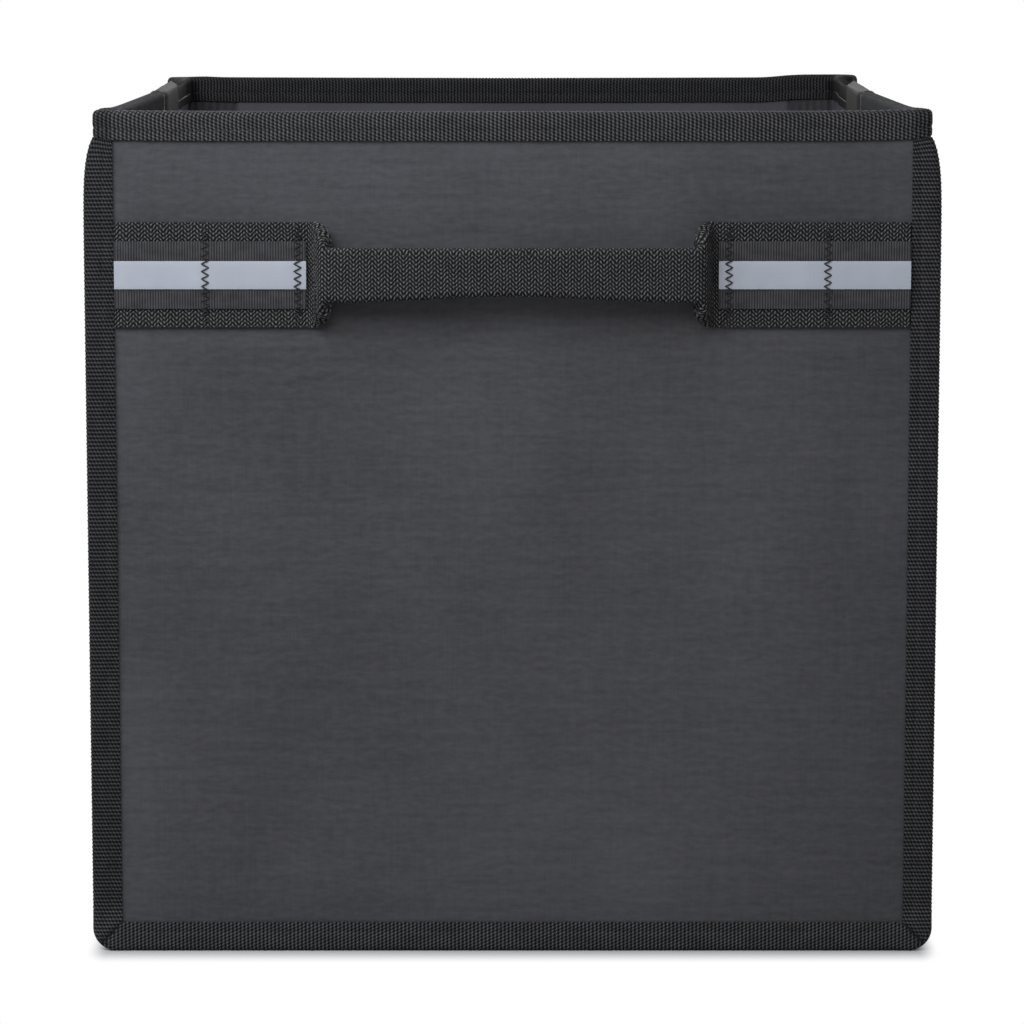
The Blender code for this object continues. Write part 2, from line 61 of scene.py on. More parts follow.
# Sheet thicknesses and the gap between layers
TAPE_THICKNESS = 0.0009
COVER_THICKNESS = 0.0006
BOARD_THICKNESS = 0.0025
LINING_THICKNESS = 0.0005
SLEEVE_THICKNESS = 0.0005
SLEEVE_BEND = 0.0016
WEBBING_THICKNESS = 0.0013
RIBBON_THICKNESS = 0.0005
REFLECTOR_THICKNESS = 0.0003
CLEARANCE = 0.0003

# Seams and rim
SEAM_FLANGE = 0.0090
SEAM_TAPE_FACE = 0.0109
SEAM_CORNER_RADIUS = 0.0088
NECK_DEPTH = 0.0040
NECK_LENGTH = 0.0065
WALL_CORNER_RADIUS = 0.0012
CORNER_CENTRE = 0.0060
CORNER_ARC = 1.76
CREASE_DEPTH = 0.0026
RIM_TAPE_FACE = 0.0104
RIM_FOLD_RADIUS = 0.0019
RIM_CORNER_RADIUS = 0.0020
RIM_INNER_RADIUS = 0.0015
RIM_CORNER_RUN = 0.0145
CORNER_RISE = 0.0010
REAR_TAPE_WRAP = 0.0400
REAR_TAPE_INSIDE = 0.0950
CREASE_PINCH = 0.0016

# Handle
HANDLE_REACH = 0.0745
HANDLE_LIFT_ANGLE = math.radians(75)
HANDLE_FOOT_RADIUS = 0.0030
HANDLE_SHOULDER_RADIUS = 0.0040
HANDLE_STAND_OFF = 0.0115
HANDLE_BOW = 0.0025
GRIP_RISE = 0.0010
GRIP_FOLD_INWARD = (0.0002, 0.0078)
GRIP_CLOSING = 0.98
GRIP_WAIST = (-0.0008, 0.0016)
OPEN_FOLD_RADIUS = 0.0026
GRIP_FOLD_RADIUS = 0.0015
GRIP_FLAP_GAP = 0.0008
SOLVE_STEPS = 6

# Planes and heights that follow
BOX_HEIGHT = RIM_HIGH[2]
SEAM_HALF = SEAM_HIGH[0]
FRONT = SEAM_LOW[1]
WALL_HALF = SEAM_HALF - SEAM_FLANGE
FLOOR_LEVEL = SEAM_FLANGE
RIM_HALF_WIDTH = SEAM_HALF - NECK_DEPTH
COVER_FACE = COVER_LOW[1]
SEAM_BACK = SEAM_HIGH[1]
SEAM_FOLD_RADIUS = (SEAM_BACK - FRONT) / 2
SIDE_START = LINING_HIGH[1] + CLEARANCE
RIM_BACK = SIDE_START + TAPE_THICKNESS
LAYER_TOP = COVER_HIGH[2]
BOARD_INSET = COVER_THICKNESS + CLEARANCE
LINING_INSET = BOARD_INSET + BOARD_THICKNESS + CLEARANCE
RIM_INNER_INSET = LINING_INSET + LINING_THICKNESS + CLEARANCE + TAPE_THICKNESS
RIM_OUTER_OUTSET = CLEARANCE + TAPE_THICKNESS
FLANGE_BACK = GUSSET_LOW[1] + COVER_THICKNESS
STRAP_HEIGHT = (REFLECTOR_LOW[2] + REFLECTOR_HIGH[2]) / 2
STRAP_WIDTH = 2 * (STRAP_HEIGHT - STRAP_LOW[2])
STRAP_END = STRAP_HIGH[0]
STRAP_FACE = COVER_FACE - CLEARANCE - WEBBING_THICKNESS

# Weave of the tapes: ribs across the tape, each a row of small beads
RIB_PITCH = 0.00142
BEAD_PITCH = 0.00127
RIB_RELIEF = 0.00026
STITCH_SETBACK = 0.0036
STITCH_GROOVE = 0.00030
GROOVE_WIDTH = 0.0007

# Weave of the webbing: chevrons in columns
CHEVRON_WIDTH = 0.0045
CHEVRON_PITCH = 0.0016
CHEVRON_RISE = 1.5
CHEVRON_RELIEF = 0.00028
RIBBON_RIB_PITCH = 0.00097

# Creases and puckers of the coated fabric
BROAD_WAVE = 0.00110
MEDIUM_WAVE = 0.00026
RIM_PUCKER = 0.00026
EDGE_PUCKER = 0.00018
INWARD_LIMIT = 0.00018
LINING_RIPPLE = 0.00016
LINING_RIDGE = 0.0004
PRESSED_LINE = 0.0005
PRESSED_WIDTH = 0.0016

# Swells of the tapes
SEAM_PUFF = 0.00022
RIM_PUFF = 0.00020
MITRE_GROOVE = 0.0005
CORNER_BUNCH = 0.0002
RIM_SAG = 0.0006
RIM_CORNER_RISE = 0.0004
BACK_CORNER_BUMP = 0.0012
BACK_CORNER_X = 0.136
FACING_RIPPLE = 0.00022

# Painted shade: how much darker the tapes and linings are drawn at corners, sides, creases and the back,
# where shade falls
CORNER_SHADE = 0.45
CORNER_SHADE_START = 0.1445
REAR_CORNER_SHADE_START = 0.1360
SIDE_RIM_SHADE = 0.46
BACK_RIM_SHADE = 0.55
BACK_CORNER_SHADE = 1.05
MITRE_SHADE = 0.60
SIDE_SEAM_SHADE = 0.40
SIDE_SEAM_SHADE_SLOPE = 0.75
LINING_CREASE_SHADE = 0.95
LINING_CORNER_SHADE = 0.54
LINING_CREASES = (0.1219, 0.1390)

# Strips and tacks on the straps, and stitches along the tapes
STRIP_EDGE = 0.00012
TACK_DIP = 0.00016
TACK_DIP_WIDTH = 0.0012
THREAD_RADIUS = 0.00025
THREAD_SIDES = 6
THREAD_DIP = 0.00030
TACK_PITCH = 0.0027
TACK_SWING = 0.0014
TACK_INSET = 0.0012
STITCH_PITCH = 0.0031
STITCH_LENGTH = 0.0025
STITCH_WIDTH = 0.00062

# Steps of the finer surfaces
COVER_STEP = 0.0028
GUSSET_STEP = 0.0040
LINING_STEP = 0.0040
LINING_COLUMN = 0.0016
STRIP_STEP = 0.0012
SLEEVE_STEP = 0.0045
SEAM_FACE_COLUMNS = 14
WEBBING_ROW = CHEVRON_WIDTH / 8
WEBBING_COLUMN = CHEVRON_PITCH / 4

# The body that every piece rides on, and the parts of a seam's way round the box
ROOT = "root"
WALL = "wall"
CORNER = "corner"
BASE = "base"


def smooth(value):
    """Ease from 0 to 1, flat at both ends."""
    value = np.clip(value, 0.0, 1.0)
    return value * value * (3 - 2 * value)


def spread(start, end, count):
    """Evenly spaced values from start to end, both included."""
    return [start + (end - start) * i / (count - 1) for i in range(count)]


def between(start, end, share):
    """Point that lies a share of the way from one point to another."""
    return tuple(a + (b - a) * share for a, b in zip(start, end))


def bounded(value, low, high):
    """The value, held between two limits."""
    return min(max(value, low), high)


def unit(vectors):
    """The same vectors at length 1."""
    return vectors / np.linalg.norm(vectors, axis=-1, keepdims=True)


def bell(value, width):
    """A smooth bump of height 1 at zero."""
    return np.exp(-(value / width) ** 2)


def drift(x, y, scale_x, scale_y, seed):
    """Smooth noise over two coordinates, about -1 to 1."""
    return noise.noise(Vector((x * scale_x, y * scale_y, seed)))


# Camera, light and floor

def add_item(name, data):
    """New object in the scene."""
    item = bpy.data.objects.new(name, data)
    bpy.context.scene.collection.objects.link(item)
    return item


def add_camera():
    """Camera at the photograph's viewing angle."""
    data = bpy.data.cameras.new("view")
    data.lens = LENS
    camera = add_item("view", data)
    camera.location = CAMERA_PLACE
    camera.rotation_euler = (CAMERA_TILT, 0.0, 0.0)
    bpy.context.scene.camera = camera


add_camera()


def add_lamp(name, place, target, size, power, colour):
    """One large soft lamp that points at a target."""
    data = bpy.data.lights.new(name, "AREA")
    data.shape = "RECTANGLE"
    data.size, data.size_y = size
    data.energy = power
    data.color = colour
    lamp = add_item(name, data)
    lamp.location = place
    aim = Vector(target) - Vector(place)
    lamp.rotation_euler = aim.to_track_quat("-Z", "Y").to_euler()


def add_node(tree, kind, inputs=None, **settings):
    """New node with its settings, and each of the given inputs linked or set."""
    node = tree.nodes.new(kind)
    for name, value in settings.items():
        setattr(node, name, value)
    for key, value in (inputs or {}).items():
        if isinstance(value, bpy.types.NodeSocket):
            tree.links.new(value, node.inputs[key])
        else:
            node.inputs[key].default_value = value
    return node


def shows_background(tree):
    """1 for rays from the eye, off gloss or through glass, and 0 for light that falls on the object."""
    path = add_node(tree, "ShaderNodeLightPath").outputs
    total = path["Is Camera Ray"]
    for name in ("Is Glossy Ray", "Is Transmission Ray"):
        total = add_node(tree, "ShaderNodeMath", {0: total, 1: path[name]}, operation="MAXIMUM").outputs[0]
    return total


def mix_to_output(tree, kind, share, first, second):
    """Show the first shader where the share is 0 and the second where it is 1."""
    mix = add_node(tree, "ShaderNodeMixShader", {0: share, 1: first.outputs[0], 2: second.outputs[0]})
    add_node(tree, kind, {"Surface": mix.outputs[0]})


WORLD_LIGHT = 0.31
STUDIO_WHITE = (1.0, 1.0, 1.0, 1.0)


def add_world():
    """White background with a plain level of light."""
    world = bpy.data.worlds.new("studio")
    bpy.context.scene.world = world
    world.use_nodes = True
    tree = world.node_tree
    tree.nodes.clear()
    light = add_node(tree, "ShaderNodeBackground", {"Color": STUDIO_WHITE, "Strength": WORLD_LIGHT})
    seen = add_node(tree, "ShaderNodeBackground", {"Color": STUDIO_WHITE})
    mix_to_output(tree, "ShaderNodeOutputWorld", shows_background(tree), light, seen)


FLOOR_SIZE = 60.0
FLOOR_GREY = (0.49, 0.49, 0.49, 1.0)
SHADE_REACH = (0.009, 0.021)
SHADE_INSET = (0.006, 0.002)


def add_floor():
    """Pale floor that keeps the box's shadow round its base and is plain white beyond."""
    half = FLOOR_SIZE / 2
    mesh = bpy.data.meshes.new("floor")
    corners = [(-half, -half, 0), (half, -half, 0), (half, half, 0), (-half, half, 0)]
    mesh.from_pydata(corners, [], [(0, 1, 2, 3)])
    material = bpy.data.materials.new("studio_floor")
    material.use_nodes = True
    tree = material.node_tree
    tree.nodes.clear()
    place = add_node(tree, "ShaderNodeTexCoord").outputs["Object"]
    vector = add_node(tree, "ShaderNodeVectorMath", {0: place}, operation="ABSOLUTE").outputs[0]
    base_half = (SEAM_HALF - SHADE_INSET[0], -FRONT - SHADE_INSET[1], 0.0)
    reach = (1 / SHADE_REACH[0], 1 / SHADE_REACH[1], 1.0)
    for operation, other in (("SUBTRACT", base_half), ("MAXIMUM", (0.0, 0.0, 0.0)), ("MULTIPLY", reach)):
        given = {0: vector, 1: other}
        vector = add_node(tree, "ShaderNodeVectorMath", given, operation=operation).outputs[0]
    distance = add_node(tree, "ShaderNodeVectorMath", {0: vector}, operation="LENGTH").outputs["Value"]
    far = add_node(tree, "ShaderNodeMapRange", {"Value": distance}, interpolation_type="SMOOTHSTEP")
    seen = {0: far.outputs["Result"], 1: shows_background(tree)}
    share = add_node(tree, "ShaderNodeMath", seen, operation="MULTIPLY").outputs[0]
    lit = add_node(tree, "ShaderNodeBsdfDiffuse", {"Color": FLOOR_GREY})
    plain = add_node(tree, "ShaderNodeEmission", {"Color": STUDIO_WHITE})
    mix_to_output(tree, "ShaderNodeOutputMaterial", share, lit, plain)
    mesh.materials.append(material)
    floor = add_item("floor", mesh)


def add_light():
    """Soft lamps in front, above and round the box, and the plain view settings."""
    add_lamp("key_lamp", (-0.28, -0.61, 0.66), (0, -0.18, 0.23), (0.7, 0.40), 6.1, (0.94, 0.96, 1.0))
    add_lamp("top_lamp", (0.0, 0.00, 1.90), (0, 0.00, 0), (0.5, 0.5), 3.0, (1.0, 1.0, 1.0))
    add_lamp("left_lamp", (-1.55, 0.35, 0.60), (0, 0.05, 0.15), (0.8, 0.8), 4.0, (1.0, 1.0, 1.0))
    add_lamp("right_lamp", (1.55, 0.35, 0.60), (0, 0.05, 0.15), (0.8, 0.8), 4.0, (1.0, 1.0, 1.0))
    add_lamp("rear_lamp", (0.0, 1.75, 0.70), (0, 0.18, 0.15), (0.8, 0.8), 10.0, (1.0, 1.0, 1.0))
    bpy.context.scene.view_settings.view_transform = "Standard"


# Finishes: each has a roughness and a gloss level, and runs between two screen colours

def tone(colour):
    """Linear colour of a screen colour given from 0 to 255."""
    shares = [value / 255 for value in colour]
    linear = [share / 12.92 if share <= 0.04045 else ((share + 0.055) / 1.055) ** 2.4 for share in shares]
    return (*linear, 1.0)


class Value:
    """A number that a material's nodes work out at each place."""

    def __init__(self, tree, socket):
        self.tree = tree
        self.socket = socket

    def apply(self, operation, *others):
        """Result of one Math node."""
        values = [value.socket if isinstance(value, Value) else value for value in (self, *others)]
        node = add_node(self.tree, "ShaderNodeMath", dict(enumerate(values)), operation=operation)
        return Value(self.tree, node.outputs[0])

    def __add__(self, other):
        return self.apply("ADD", other)

    def __sub__(self, other):
        return self.apply("SUBTRACT", other)

    def __mul__(self, other):
        return self.apply("MULTIPLY", other)

    def __truediv__(self, other):
        return self.apply("DIVIDE", other)

    def __rsub__(self, other):
        return self * -1.0 + other

    def wave(self):
        """0 to 1 wave with its crest at whole numbers."""
        return (self * (2 * math.pi)).apply("COSINE") * 0.5 + 0.5


class Finish:
    """One material, drawn on the piece's own surface map in metres or on its Object coordinates."""

    def __init__(self, name, roughness, specular, on_surface=True):
        self.material = bpy.data.materials.new(name)
        self.material.use_nodes = True
        self.tree = self.material.node_tree
        self.shader = self.tree.nodes["Principled BSDF"].inputs
        self.shader["Roughness"].default_value = roughness
        self.shader["Specular IOR Level"].default_value = specular
        if on_surface:
            self.place = add_node(self.tree, "ShaderNodeUVMap", uv_map="surface").outputs[0]
            parts = add_node(self.tree, "ShaderNodeSeparateXYZ", {0: self.place}).outputs
            self.along = Value(self.tree, parts[0])
            self.across = Value(self.tree, parts[1])
        else:
            self.place = add_node(self.tree, "ShaderNodeTexCoord").outputs["Object"]

    def grain(self, *scale, detail=2.0, seed=0.0):
        """Noise from 0 to 1 at a scale along, across and through the piece."""
        given = {"Vector": self.place, "Scale": scale, "Location": (seed, seed * 0.7, seed * 1.3)}
        vector = add_node(self.tree, "ShaderNodeMapping", given).outputs[0]
        given = {"Vector": vector, "Scale": 1.0, "Detail": detail}
        return Value(self.tree, add_node(self.tree, "ShaderNodeTexNoise", given).outputs["Fac"])

    def fold(self):
        """Painted shade kept in the piece's own fold attribute: how much darker its colour is drawn."""
        node = add_node(self.tree, "ShaderNodeAttribute", attribute_name="fold")
        return Value(self.tree, node.outputs["Fac"])

    def finish(self, light, low, high, height, relief, roughness=None):
        """Colour from low to high by the light, and a bump whose full height is relief in metres."""
        given = {"Factor": light.socket, 6: tone(low), 7: tone(high)}
        colour = add_node(self.tree, "ShaderNodeMix", given, data_type="RGBA").outputs[2]
        given = {"Strength": 1.0, "Distance": relief, "Height": height.socket}
        bump = add_node(self.tree, "ShaderNodeBump", given).outputs[0]
        self.tree.links.new(colour, self.shader["Base Color"])
        self.tree.links.new(bump, self.shader["Normal"])
        if roughness is not None:
            self.tree.links.new(roughness.socket, self.shader["Roughness"])
        return self.material


def woven_tape():
    """Ribbed binding tape: ribs of small beads with dark gaps between them."""
    draw = Finish("woven_tape", 0.70, 0.03)
    rib_phase = draw.along / RIB_PITCH
    row = draw.across / BEAD_PITCH
    rib = rib_phase.wave()
    slant = (rib_phase - rib_phase.apply("ROUND")) * 0.7
    bead = (row + (rib_phase + 0.5).apply("FLOOR") * 0.5 + slant).wave()
    gap = (row + (rib_phase.apply("FLOOR") * 0.5 + 0.25)).wave()
    # fold is painted shade from the piece's attribute; past one half it also flattens the beads.
    fold = draw.fold()
    flat = ((fold - 0.50) * 10.0).apply("MINIMUM", 0.9).apply("MAXIMUM", 0.0)
    bead = bead + flat * (0.6 - bead)
    crest = rib.apply("POWER", 1.5) * (bead * 0.84 + 0.22)
    hollow = (1.0 - rib) * gap * 0.16
    yarn = draw.grain(2600.0, 2600.0, 1.0)
    patch = draw.grain(120.0, 260.0, 1.0, seed=4.0)
    height = (crest + hollow) * (yarn * 0.9 + 0.55)
    # Painted shade: the last factor darkens the tape's colour by the fold attribute.
    light = height * (patch * 0.7 + 0.60) * (fold * -0.75 + 1.0)
    return draw.finish(light, (6, 6, 6), (103, 103, 106), height, 0.00035)


def herringbone_webbing():
    """Strap webbing woven in columns of chevrons."""
    draw = Finish("herringbone_webbing", 0.72, 0.06)
    sway = draw.grain(230.0, 230.0, 1.0, seed=9.0) - 0.5
    lean = 1.0 - ((draw.along / CHEVRON_WIDTH).apply("FRACT") * 2.0 - 1.0).apply("ABSOLUTE")
    yarn_row = (draw.across / CHEVRON_PITCH + sway * 0.9 - lean * CHEVRON_RISE).wave()
    bead = (draw.along / (CHEVRON_WIDTH / 4) + sway * 0.6).wave()
    yarn = draw.grain(2200.0, 2200.0, 1.0)
    patch = draw.grain(160.0, 160.0, 1.0, seed=3.0)
    height = yarn_row.apply("POWER", 1.5) * (bead * 0.95 + 0.10) * (yarn * 0.9 + 0.55)
    light = height * (patch * 0.6 + 0.7)
    return draw.finish(light, (8, 8, 8), (114, 114, 115), height, 0.00040)


def coated_fabric():
    """Plain woven fabric with a satin coating: slubs along the weft and a faint warp."""
    draw = Finish("coated_fabric", 0.44, 0.08)
    slub = draw.grain(240.0, 560.0, 1.0)
    long_slub = draw.grain(32.0, 300.0, 1.0, seed=3.0)
    warp = draw.grain(1050.0, 60.0, 1.0, seed=2.0)
    speck = draw.grain(1500.0, 1500.0, 1.0, seed=7.0)
    cloud = draw.grain(12.0, 8.0, 1.0, detail=3.0, seed=5.0)
    height = slub * 0.46 + warp * 0.16 + long_slub * 0.32 + speck * 0.14
    # Painted highlight and shade: the broad cloud brightens and darkens the colour in soft patches like
    # light off wrinkles; it also varies the roughness.
    light = height * 0.70 + cloud * 0.40
    return draw.finish(light, (11, 11, 12), (87, 87, 91), height, 0.00024, cloud * -0.24 + 0.56)


def lining_fabric():
    """Matt grey lining with a fine plain weave, darkened by painted shade from its fold attribute."""
    draw = Finish("lining_fabric", 0.74, 0.15)
    weft = draw.grain(240.0, 1700.0, 1.0)
    warp = draw.grain(1700.0, 240.0, 1.0, seed=2.0)
    cloud = draw.grain(22.0, 22.0, 1.0, seed=5.0)
    height = (weft + warp) * 0.5
    # Painted shade: the fold attribute is taken off the lining's colour.
    light = (height * 0.5 + cloud * 0.5) * 0.715 + 0.285 - draw.fold() * 0.64
    return draw.finish(light, (20, 20, 21), (94, 93, 100), height, 0.00012)


def smooth_facing():
    """Smooth folded strip on the rear half of the side rims."""
    draw = Finish("smooth_facing", 0.70, 0.03)
    fine = draw.grain(900.0, 900.0, 1.0)
    cloud = draw.grain(60.0, 60.0, 1.0, seed=5.0)
    return draw.finish(cloud * 0.7 + fine * 0.3, (31, 31, 30), (50, 50, 48), fine, 0.00008)


def ribbed_ribbon():
    """Ribbon with fine upright ribs."""
    draw = Finish("ribbed_ribbon", 0.60, 0.12)
    streak = draw.grain(1500.0, 120.0, 1.0)
    patch = draw.grain(140.0, 300.0, 1.0, seed=6.0)
    height = (draw.along / RIBBON_RIB_PITCH).wave() * 0.65 + streak * 0.45
    return draw.finish(height * (patch * 0.9 + 0.5), (3, 3, 4), (73, 73, 76), height, 0.00020)


def reflective_strip():
    """Pale grey strip with a very fine beaded face."""
    draw = Finish("reflective_strip", 0.42, 0.40)
    fine = draw.grain(2600.0, 2600.0, 1.0)
    cloud = draw.grain(90.0, 60.0, 1.0, seed=3.0)
    return draw.finish(cloud * 0.6 + fine * 0.4, (140, 145, 154), (166, 171, 181), fine, 0.00003)


def sewing_thread():
    """Dark twisted thread."""
    draw = Finish("sewing_thread", 0.55, 0.25, on_surface=False)
    twist = draw.grain(1800.0, 1800.0, 1800.0)
    return draw.finish(twist, (11, 11, 12), (36, 36, 38), twist, 0.00010)


def stiff_board():
    """Grey-brown pressed board."""
    draw = Finish("stiff_board", 0.85, 0.25, on_surface=False)
    fibre = draw.grain(700.0, 700.0, 700.0, detail=4.0)
    cloud = draw.grain(40.0, 40.0, 40.0, seed=3.0)
    return draw.finish(cloud * 0.5 + fibre * 0.5, (98, 86, 70), (150, 136, 116), fibre, 0.00010)


# Sheets

def outward_volume(points, quads, rings):
    """Signed volume inside the faces; it is negative if they point inwards."""
    a, b, c, d = (points[quads[:, i]] for i in range(4))
    total = np.einsum("ij,ij->", a, np.cross(b, c)) + np.einsum("ij,ij->", a, np.cross(c, d))
    for ring in rings:
        corners = points[ring]
        total += np.einsum("j,ij->", corners[0], np.cross(corners[1:-1], corners[2:]))
    return total


def add_object(name, points, quads, rings, surface, material):
    """Make one smooth object with its surface map, its faces pointing outwards."""
    if outward_volume(points, quads, rings) < 0:
        quads = quads[:, ::-1]
        rings = [ring[::-1] for ring in rings]
    sizes = np.array([4] * len(quads) + [len(ring) for ring in rings], dtype=np.int32)
    corners = np.concatenate([quads.ravel()] + list(rings)).astype(np.int32)
    starts = (np.cumsum(sizes) - sizes).astype(np.int32)
    mesh = bpy.data.meshes.new(name)
    mesh.vertices.add(len(points))
    mesh.vertices.foreach_set("co", points.astype(np.float32).ravel())
    mesh.loops.add(len(corners))
    mesh.loops.foreach_set("vertex_index", corners)
    mesh.polygons.add(len(sizes))
    mesh.polygons.foreach_set("loop_start", starts)
    mesh.update(calc_edges=True)
    layer = mesh.uv_layers.new(name="surface")
    layer.uv.foreach_set("vector", surface[corners].astype(np.float32).ravel())
    mesh.shade_smooth()
    mesh.set_sharp_from_angle(angle=math.radians(75))
    mesh.materials.append(material)
    return add_item(name, mesh)


def lengths(points):
    """Length run along a row of points, from its start."""
    steps = np.linalg.norm(np.diff(points, axis=0), axis=1)
    return np.concatenate([[0.0], np.cumsum(steps)])


def grid_quads(grid):
    """Corners of the four-sided faces of a grid of points."""
    return np.stack([grid[:-1, :-1], grid[1:, :-1], grid[1:, 1:], grid[:-1, 1:]], axis=2).reshape(-1, 4)


def add_sheet(name, outer, inner, material, relief=None, along=None, across=None, keep=6, closed=False):
    """Make a closed sheet from its outer and inner grids; relief lifts the outer face."""
    outer = np.array(outer, dtype=float)
    inner = np.array(inner, dtype=float)
    rows, columns = outer.shape[:2]
    if along is None:
        along = lengths(outer[:, columns // 2])
    if across is None:
        across = lengths(outer[rows // 2])
    if along.ndim == 1:
        along, across = np.meshgrid(along, across, indexing="ij")
    if relief is not None:
        outer = outer + unit(outer - inner) * relief[:, :, None]
    kept = sorted(set(range(0, columns, keep)) | {columns - 1})
    inner = inner[:, kept]
    surface = np.stack([along, across], axis=2)
    points = np.concatenate([outer.reshape(-1, 3), inner.reshape(-1, 3)])
    surface = np.concatenate([surface.reshape(-1, 2), surface[:, kept].reshape(-1, 2)])
    front = np.arange(rows * columns).reshape(rows, columns)
    back = rows * columns + np.arange(rows * len(kept)).reshape(rows, len(kept))
    rings = []
    if closed:
        front = np.concatenate([front, front[:1]])
        back = np.concatenate([back, back[:1]])
    else:
        rings.append(np.concatenate([front[0], back[0][::-1]]))
        rings.append(np.concatenate([front[-1][::-1], back[-1]]))
    start_edge = np.stack([back[:, 0], front[:, 0]], axis=1)
    end_edge = np.stack([front[:, -1], back[:, -1]], axis=1)
    quads = np.concatenate([grid_quads(grid) for grid in (front, back.T, start_edge, end_edge)])
    return add_object(name, points, quads, rings, surface, material)


def turned(grid):
    """The same grid, turned half round about the upright axis."""
    return np.array(grid, dtype=float) * np.array([-1.0, -1.0, 1.0])


def place_piece(piece, slot, *nodes):
    """The piece rides on the box and stands for its solids, which are hidden; the slot is not used."""
    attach(piece, ROOT)
    if nodes:
        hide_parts(*nodes)


# Outline of the seams and side walls

def seam_half(z):
    """Half width across the bound seams at height z: they draw in to a neck under the rim."""
    below = max(BOX_HEIGHT - RIM_TAPE_FACE - z, 0.0)
    return SEAM_HALF - NECK_DEPTH * math.exp(-below / NECK_LENGTH)


def fold_share(y):
    """0 at the front and back walls, 1 at the crease half way along a side wall."""
    return bounded(1 - abs(y) / -SIDE_START, 0.0, 1.0)


def crease(y, z):
    """How far a side wall is drawn in at depth y and height z."""
    return CREASE_DEPTH * fold_share(y) * bounded((z - FLOOR_LEVEL) / (BOX_HEIGHT - FLOOR_LEVEL), 0.0, 1.0)


def seam_stations(top, step):
    """Even steps down the left side, along the base and up the right side."""
    corner_z = FLOOR_LEVEL + CORNER_CENTRE
    base_half = WALL_HALF - CORNER_CENTRE
    levels = spread(top, corner_z, round((top - corner_z) / step) + 1)
    turns = round((SEAM_FLANGE + CORNER_CENTRE) * CORNER_ARC / step)
    angles = spread(0.0, math.pi / 2, turns + 1)[1:-1]
    base = spread(-base_half, base_half, round(2 * base_half / step) + 1)
    left = [(WALL, -1, z) for z in levels] + [(CORNER, -1, angle) for angle in angles]
    right = [(CORNER, 1, angle) for angle in reversed(angles)] + [(WALL, 1, z) for z in reversed(levels)]
    return left + [(BASE, 0, x) for x in base] + right


def outline_point(station, side, bottom, radius):
    """Point (x, z) of a rounded outline at one station; side gives the half width at a height."""
    kind, sign, value = station
    if kind == WALL:
        return sign * side(value), value
    if kind == BASE:
        return value, bottom
    centre_x = WALL_HALF - CORNER_CENTRE
    centre_z = FLOOR_LEVEL + CORNER_CENTRE
    reach_x = side(centre_z) - centre_x
    reach_z = centre_z - bottom
    across = math.cos(value)
    down = math.sin(value)
    length = min(reach_x / across, reach_z / down)
    round_x = reach_x - radius
    round_z = reach_z - radius
    if length * across > round_x and length * down > round_z:
        middle = across * round_x + down * round_z
        length = middle + math.sqrt(max(middle ** 2 - round_x ** 2 - round_z ** 2 + radius ** 2, 0.0))
    return sign * (centre_x + length * across), centre_z - length * down


def gusset_point(station, side_inset, base_inset, radius, y):
    """Point of a gusset layer at one station and depth, set in from the outer face of the cover."""
    def side(z):
        return WALL_HALF - side_inset - crease(y, z)

    x, z = outline_point(station, side, FLOOR_LEVEL + base_inset, radius)
    return x, y, z


def seam_point(station, inset):
    """Point (x, z) at one station, set in from the tip of the bound seam."""
    return outline_point(station, lambda z: seam_half(z) - inset, inset, SEAM_CORNER_RADIUS - inset)


def flange_point(station, y):
    """Tip of the seam allowance at one station, inside the fold of the tape."""
    x, z = seam_point(station, SEAM_FOLD_RADIUS)
    return x, y, z


def cover_half(z):
    """Half width of a wall cover at height z, with its lower corners rounded."""
    radius = SEAM_CORNER_RADIUS - SEAM_FOLD_RADIUS
    rise = min(max(z - SEAM_FOLD_RADIUS, 0.0), radius)
    corner = radius - math.sqrt(max(radius ** 2 - (radius - rise) ** 2, 0.0))
    return seam_half(z) - SEAM_FOLD_RADIUS - corner


# Wall covers and linings

def strap_cover(x, z):
    """1 where the flat ends of the strap lie on the panel, fading to 0 around them."""
    beside = smooth((abs(x) - HANDLE_REACH + 0.008) / 0.008)
    above = smooth((STRAP_WIDTH / 2 + 0.008 - abs(z - STRAP_HEIGHT)) / 0.008)
    return beside * above


def panel_lift(x, z, seed):
    """How far the panel's fabric stands out at a place: broad swells, creases and puckers."""
    side_edge = SEAM_HALF - SEAM_TAPE_FACE - abs(x)
    under_rim = BOX_HEIGHT - RIM_TAPE_FACE - z
    above_base = z - SEAM_TAPE_FACE
    inside = min(side_edge, under_rim, above_base)
    broad = BROAD_WAVE * (0.5 + drift(x, z, 13.0, 8.0, seed))
    medium = MEDIUM_WAVE * drift(x + 0.3 * z, z, 55.0, 38.0, seed + 3)
    lift = (broad + medium) * smooth(inside / 0.012) * (1 - strap_cover(x, z))
    lift += RIM_PUCKER * math.exp(-max(under_rim, 0.0) / 0.010) * drift(x, z, 150.0, 30.0, seed + 5)
    lift += EDGE_PUCKER * math.exp(-max(side_edge, 0.0) / 0.007) * drift(x, z, 30.0, 160.0, seed + 9)
    return max(lift, -INWARD_LIMIT)


def wall_grids(levels, columns, half_width, depths, seed, lift):
    """Outer and inner grid of one wall layer in rows up the wall; lift bends both alike."""
    grids = []
    for depth in depths:
        rows = []
        for share in spread(-1.0, 1.0, columns):
            places = [(share * half_width(z), z) for z in levels]
            rows.append([(x, depth - lift(x, z, seed), z) for x, z in places])
        grids.append(rows)
    return grids


def lining_lift(x, z, seed):
    """How far a wall lining stands in from its plane: a seam near each corner and puckers outside."""
    seam = 0.0003 * bell(abs(x) - LINING_CREASES[0], 0.0012)
    outside = smooth((abs(x) - LINING_CREASES[0]) / 0.004)
    ripple = LINING_RIPPLE * drift(x, z, 60.0, 90.0, seed) * (0.4 + outside)
    return ripple + seam - 0.00012


